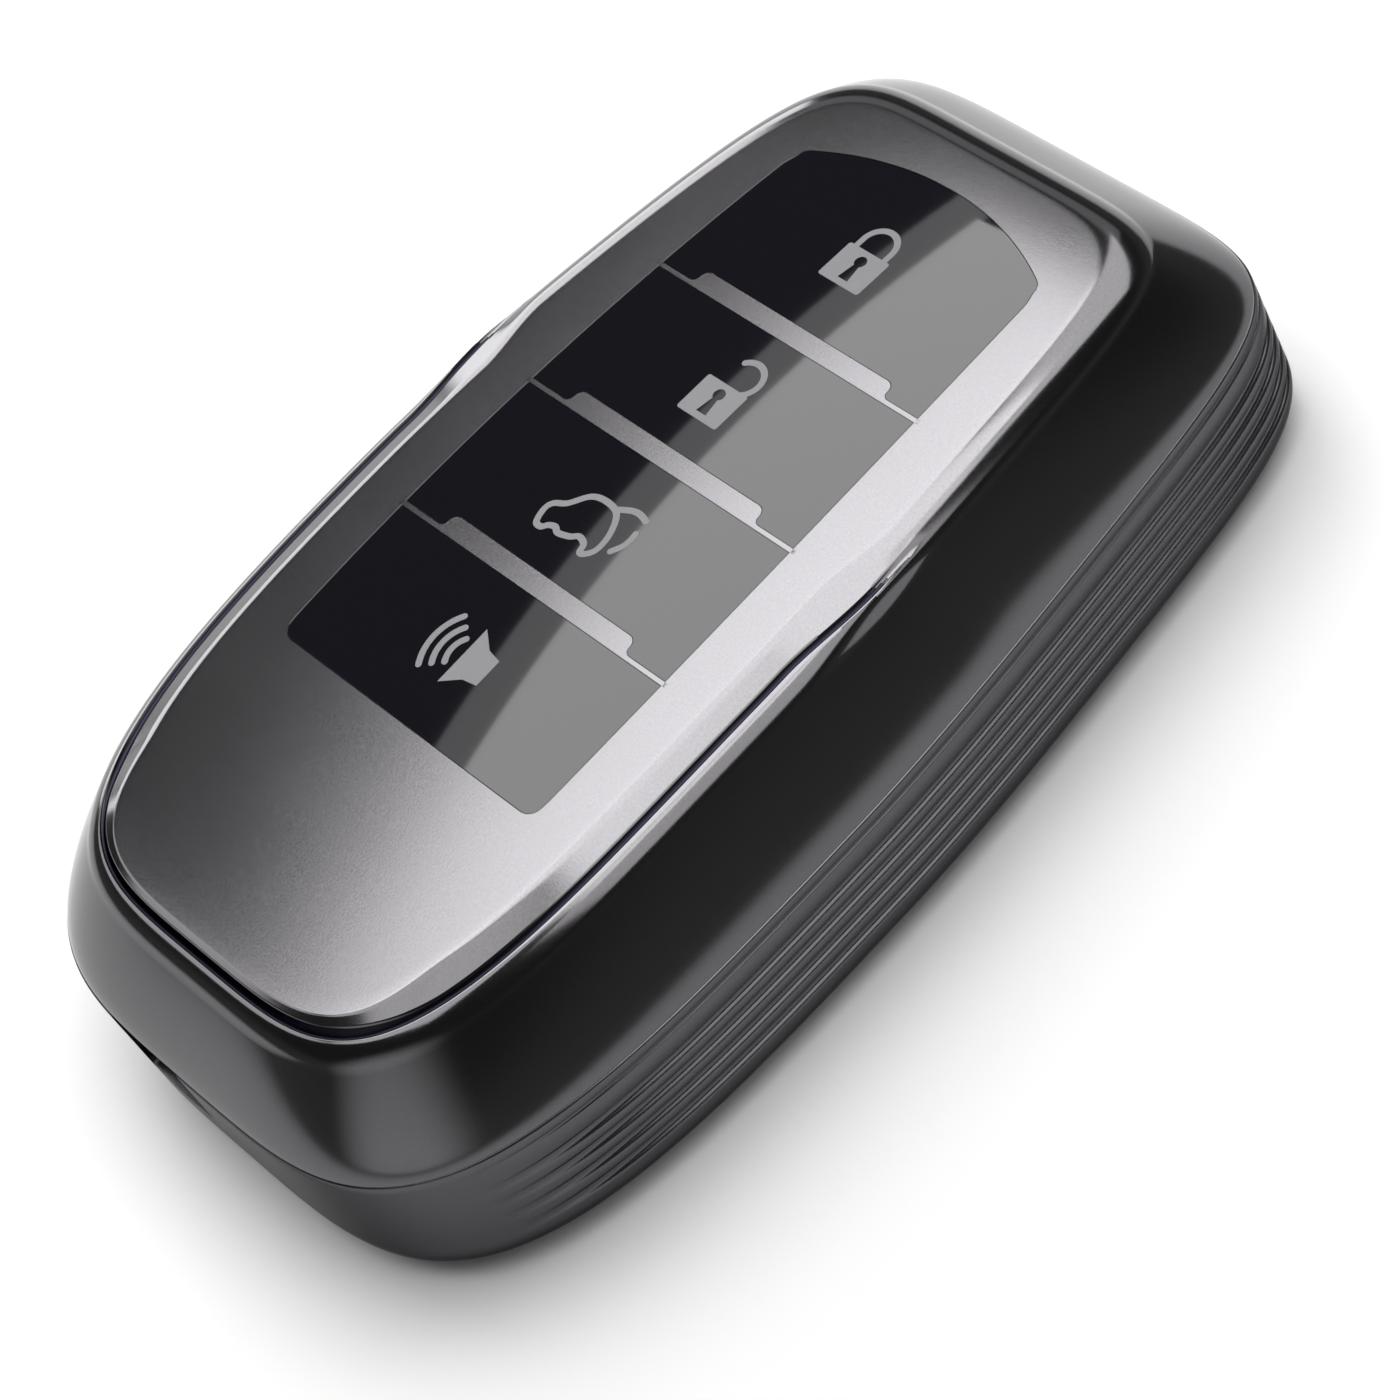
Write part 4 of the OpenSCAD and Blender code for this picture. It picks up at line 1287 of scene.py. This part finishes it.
def soft_range(tree, value, start, end):
    """A smooth step of a value between two pairs of value and result."""
    node = tree.nodes.new("ShaderNodeMapRange")
    node.interpolation_type = "SMOOTHSTEP"
    for label, number in zip(("From Min", "To Min", "From Max", "To Max"), start + end):
        node.inputs[label].default_value = number
    tree.links.new(value, node.inputs["Value"])
    return node.outputs["Result"]


def make_world():
    """A dim room, a little brighter low down, with one soft glow."""
    world = bpy.data.worlds.new("studio")
    bpy.context.scene.world = world
    world.use_nodes = True
    tree = world.node_tree
    direction = tree.nodes.new("ShaderNodeTexCoord").outputs["Generated"]
    split = tree.nodes.new("ShaderNodeSeparateXYZ")
    tree.links.new(direction, split.inputs[0])
    towards = tree.nodes.new("ShaderNodeVectorMath")
    towards.operation = "DOT_PRODUCT"
    towards.inputs[1].default_value = GLOW_WAY
    tree.links.new(direction, towards.inputs[0])
    sky = soft_range(tree, split.outputs["Z"], HORIZON, SKY)
    glow = soft_range(tree, towards.outputs["Value"], (GLOW_START, 0), (1, GLOW_STRENGTH))
    tree.links.new(math_node(tree, "ADD", sky, glow), tree.nodes["Background"].inputs["Color"])


# Floor of the studio, under the flat back of the cover
STUDIO_R = 4000
STUDIO_TOP = -0.02
STUDIO_T = 4
STUDIO_GREY = 0.54
STUDIO_ROUGH = 0.9
STUDIO_SPECULAR = 0.1


def floor_piece():
    """A wide pale round floor."""
    profile = [(STUDIO_R, STUDIO_TOP - STUDIO_T), (STUDIO_R, STUDIO_TOP)]
    mesh = turned("studio_floor", (0, 0), profile, FLOOR_SIDES)
    obj = bpy.data.objects.new("studio_floor", mesh)
    bpy.context.scene.collection.objects.link(obj)
    material = bpy.data.materials.new("pale_floor")
    material.use_nodes = True
    shader = material.node_tree.nodes["Principled BSDF"]
    shader.inputs["Base Color"].default_value = (STUDIO_GREY, STUDIO_GREY, STUDIO_GREY, 1)
    shader.inputs["Roughness"].default_value = STUDIO_ROUGH
    shader.inputs["Specular IOR Level"].default_value = STUDIO_SPECULAR
    mesh.materials.append(material)


set_camera()
hang_cards()
make_world()
floor_piece()

bpy.context.scene.view_settings.view_transform = "Standard"
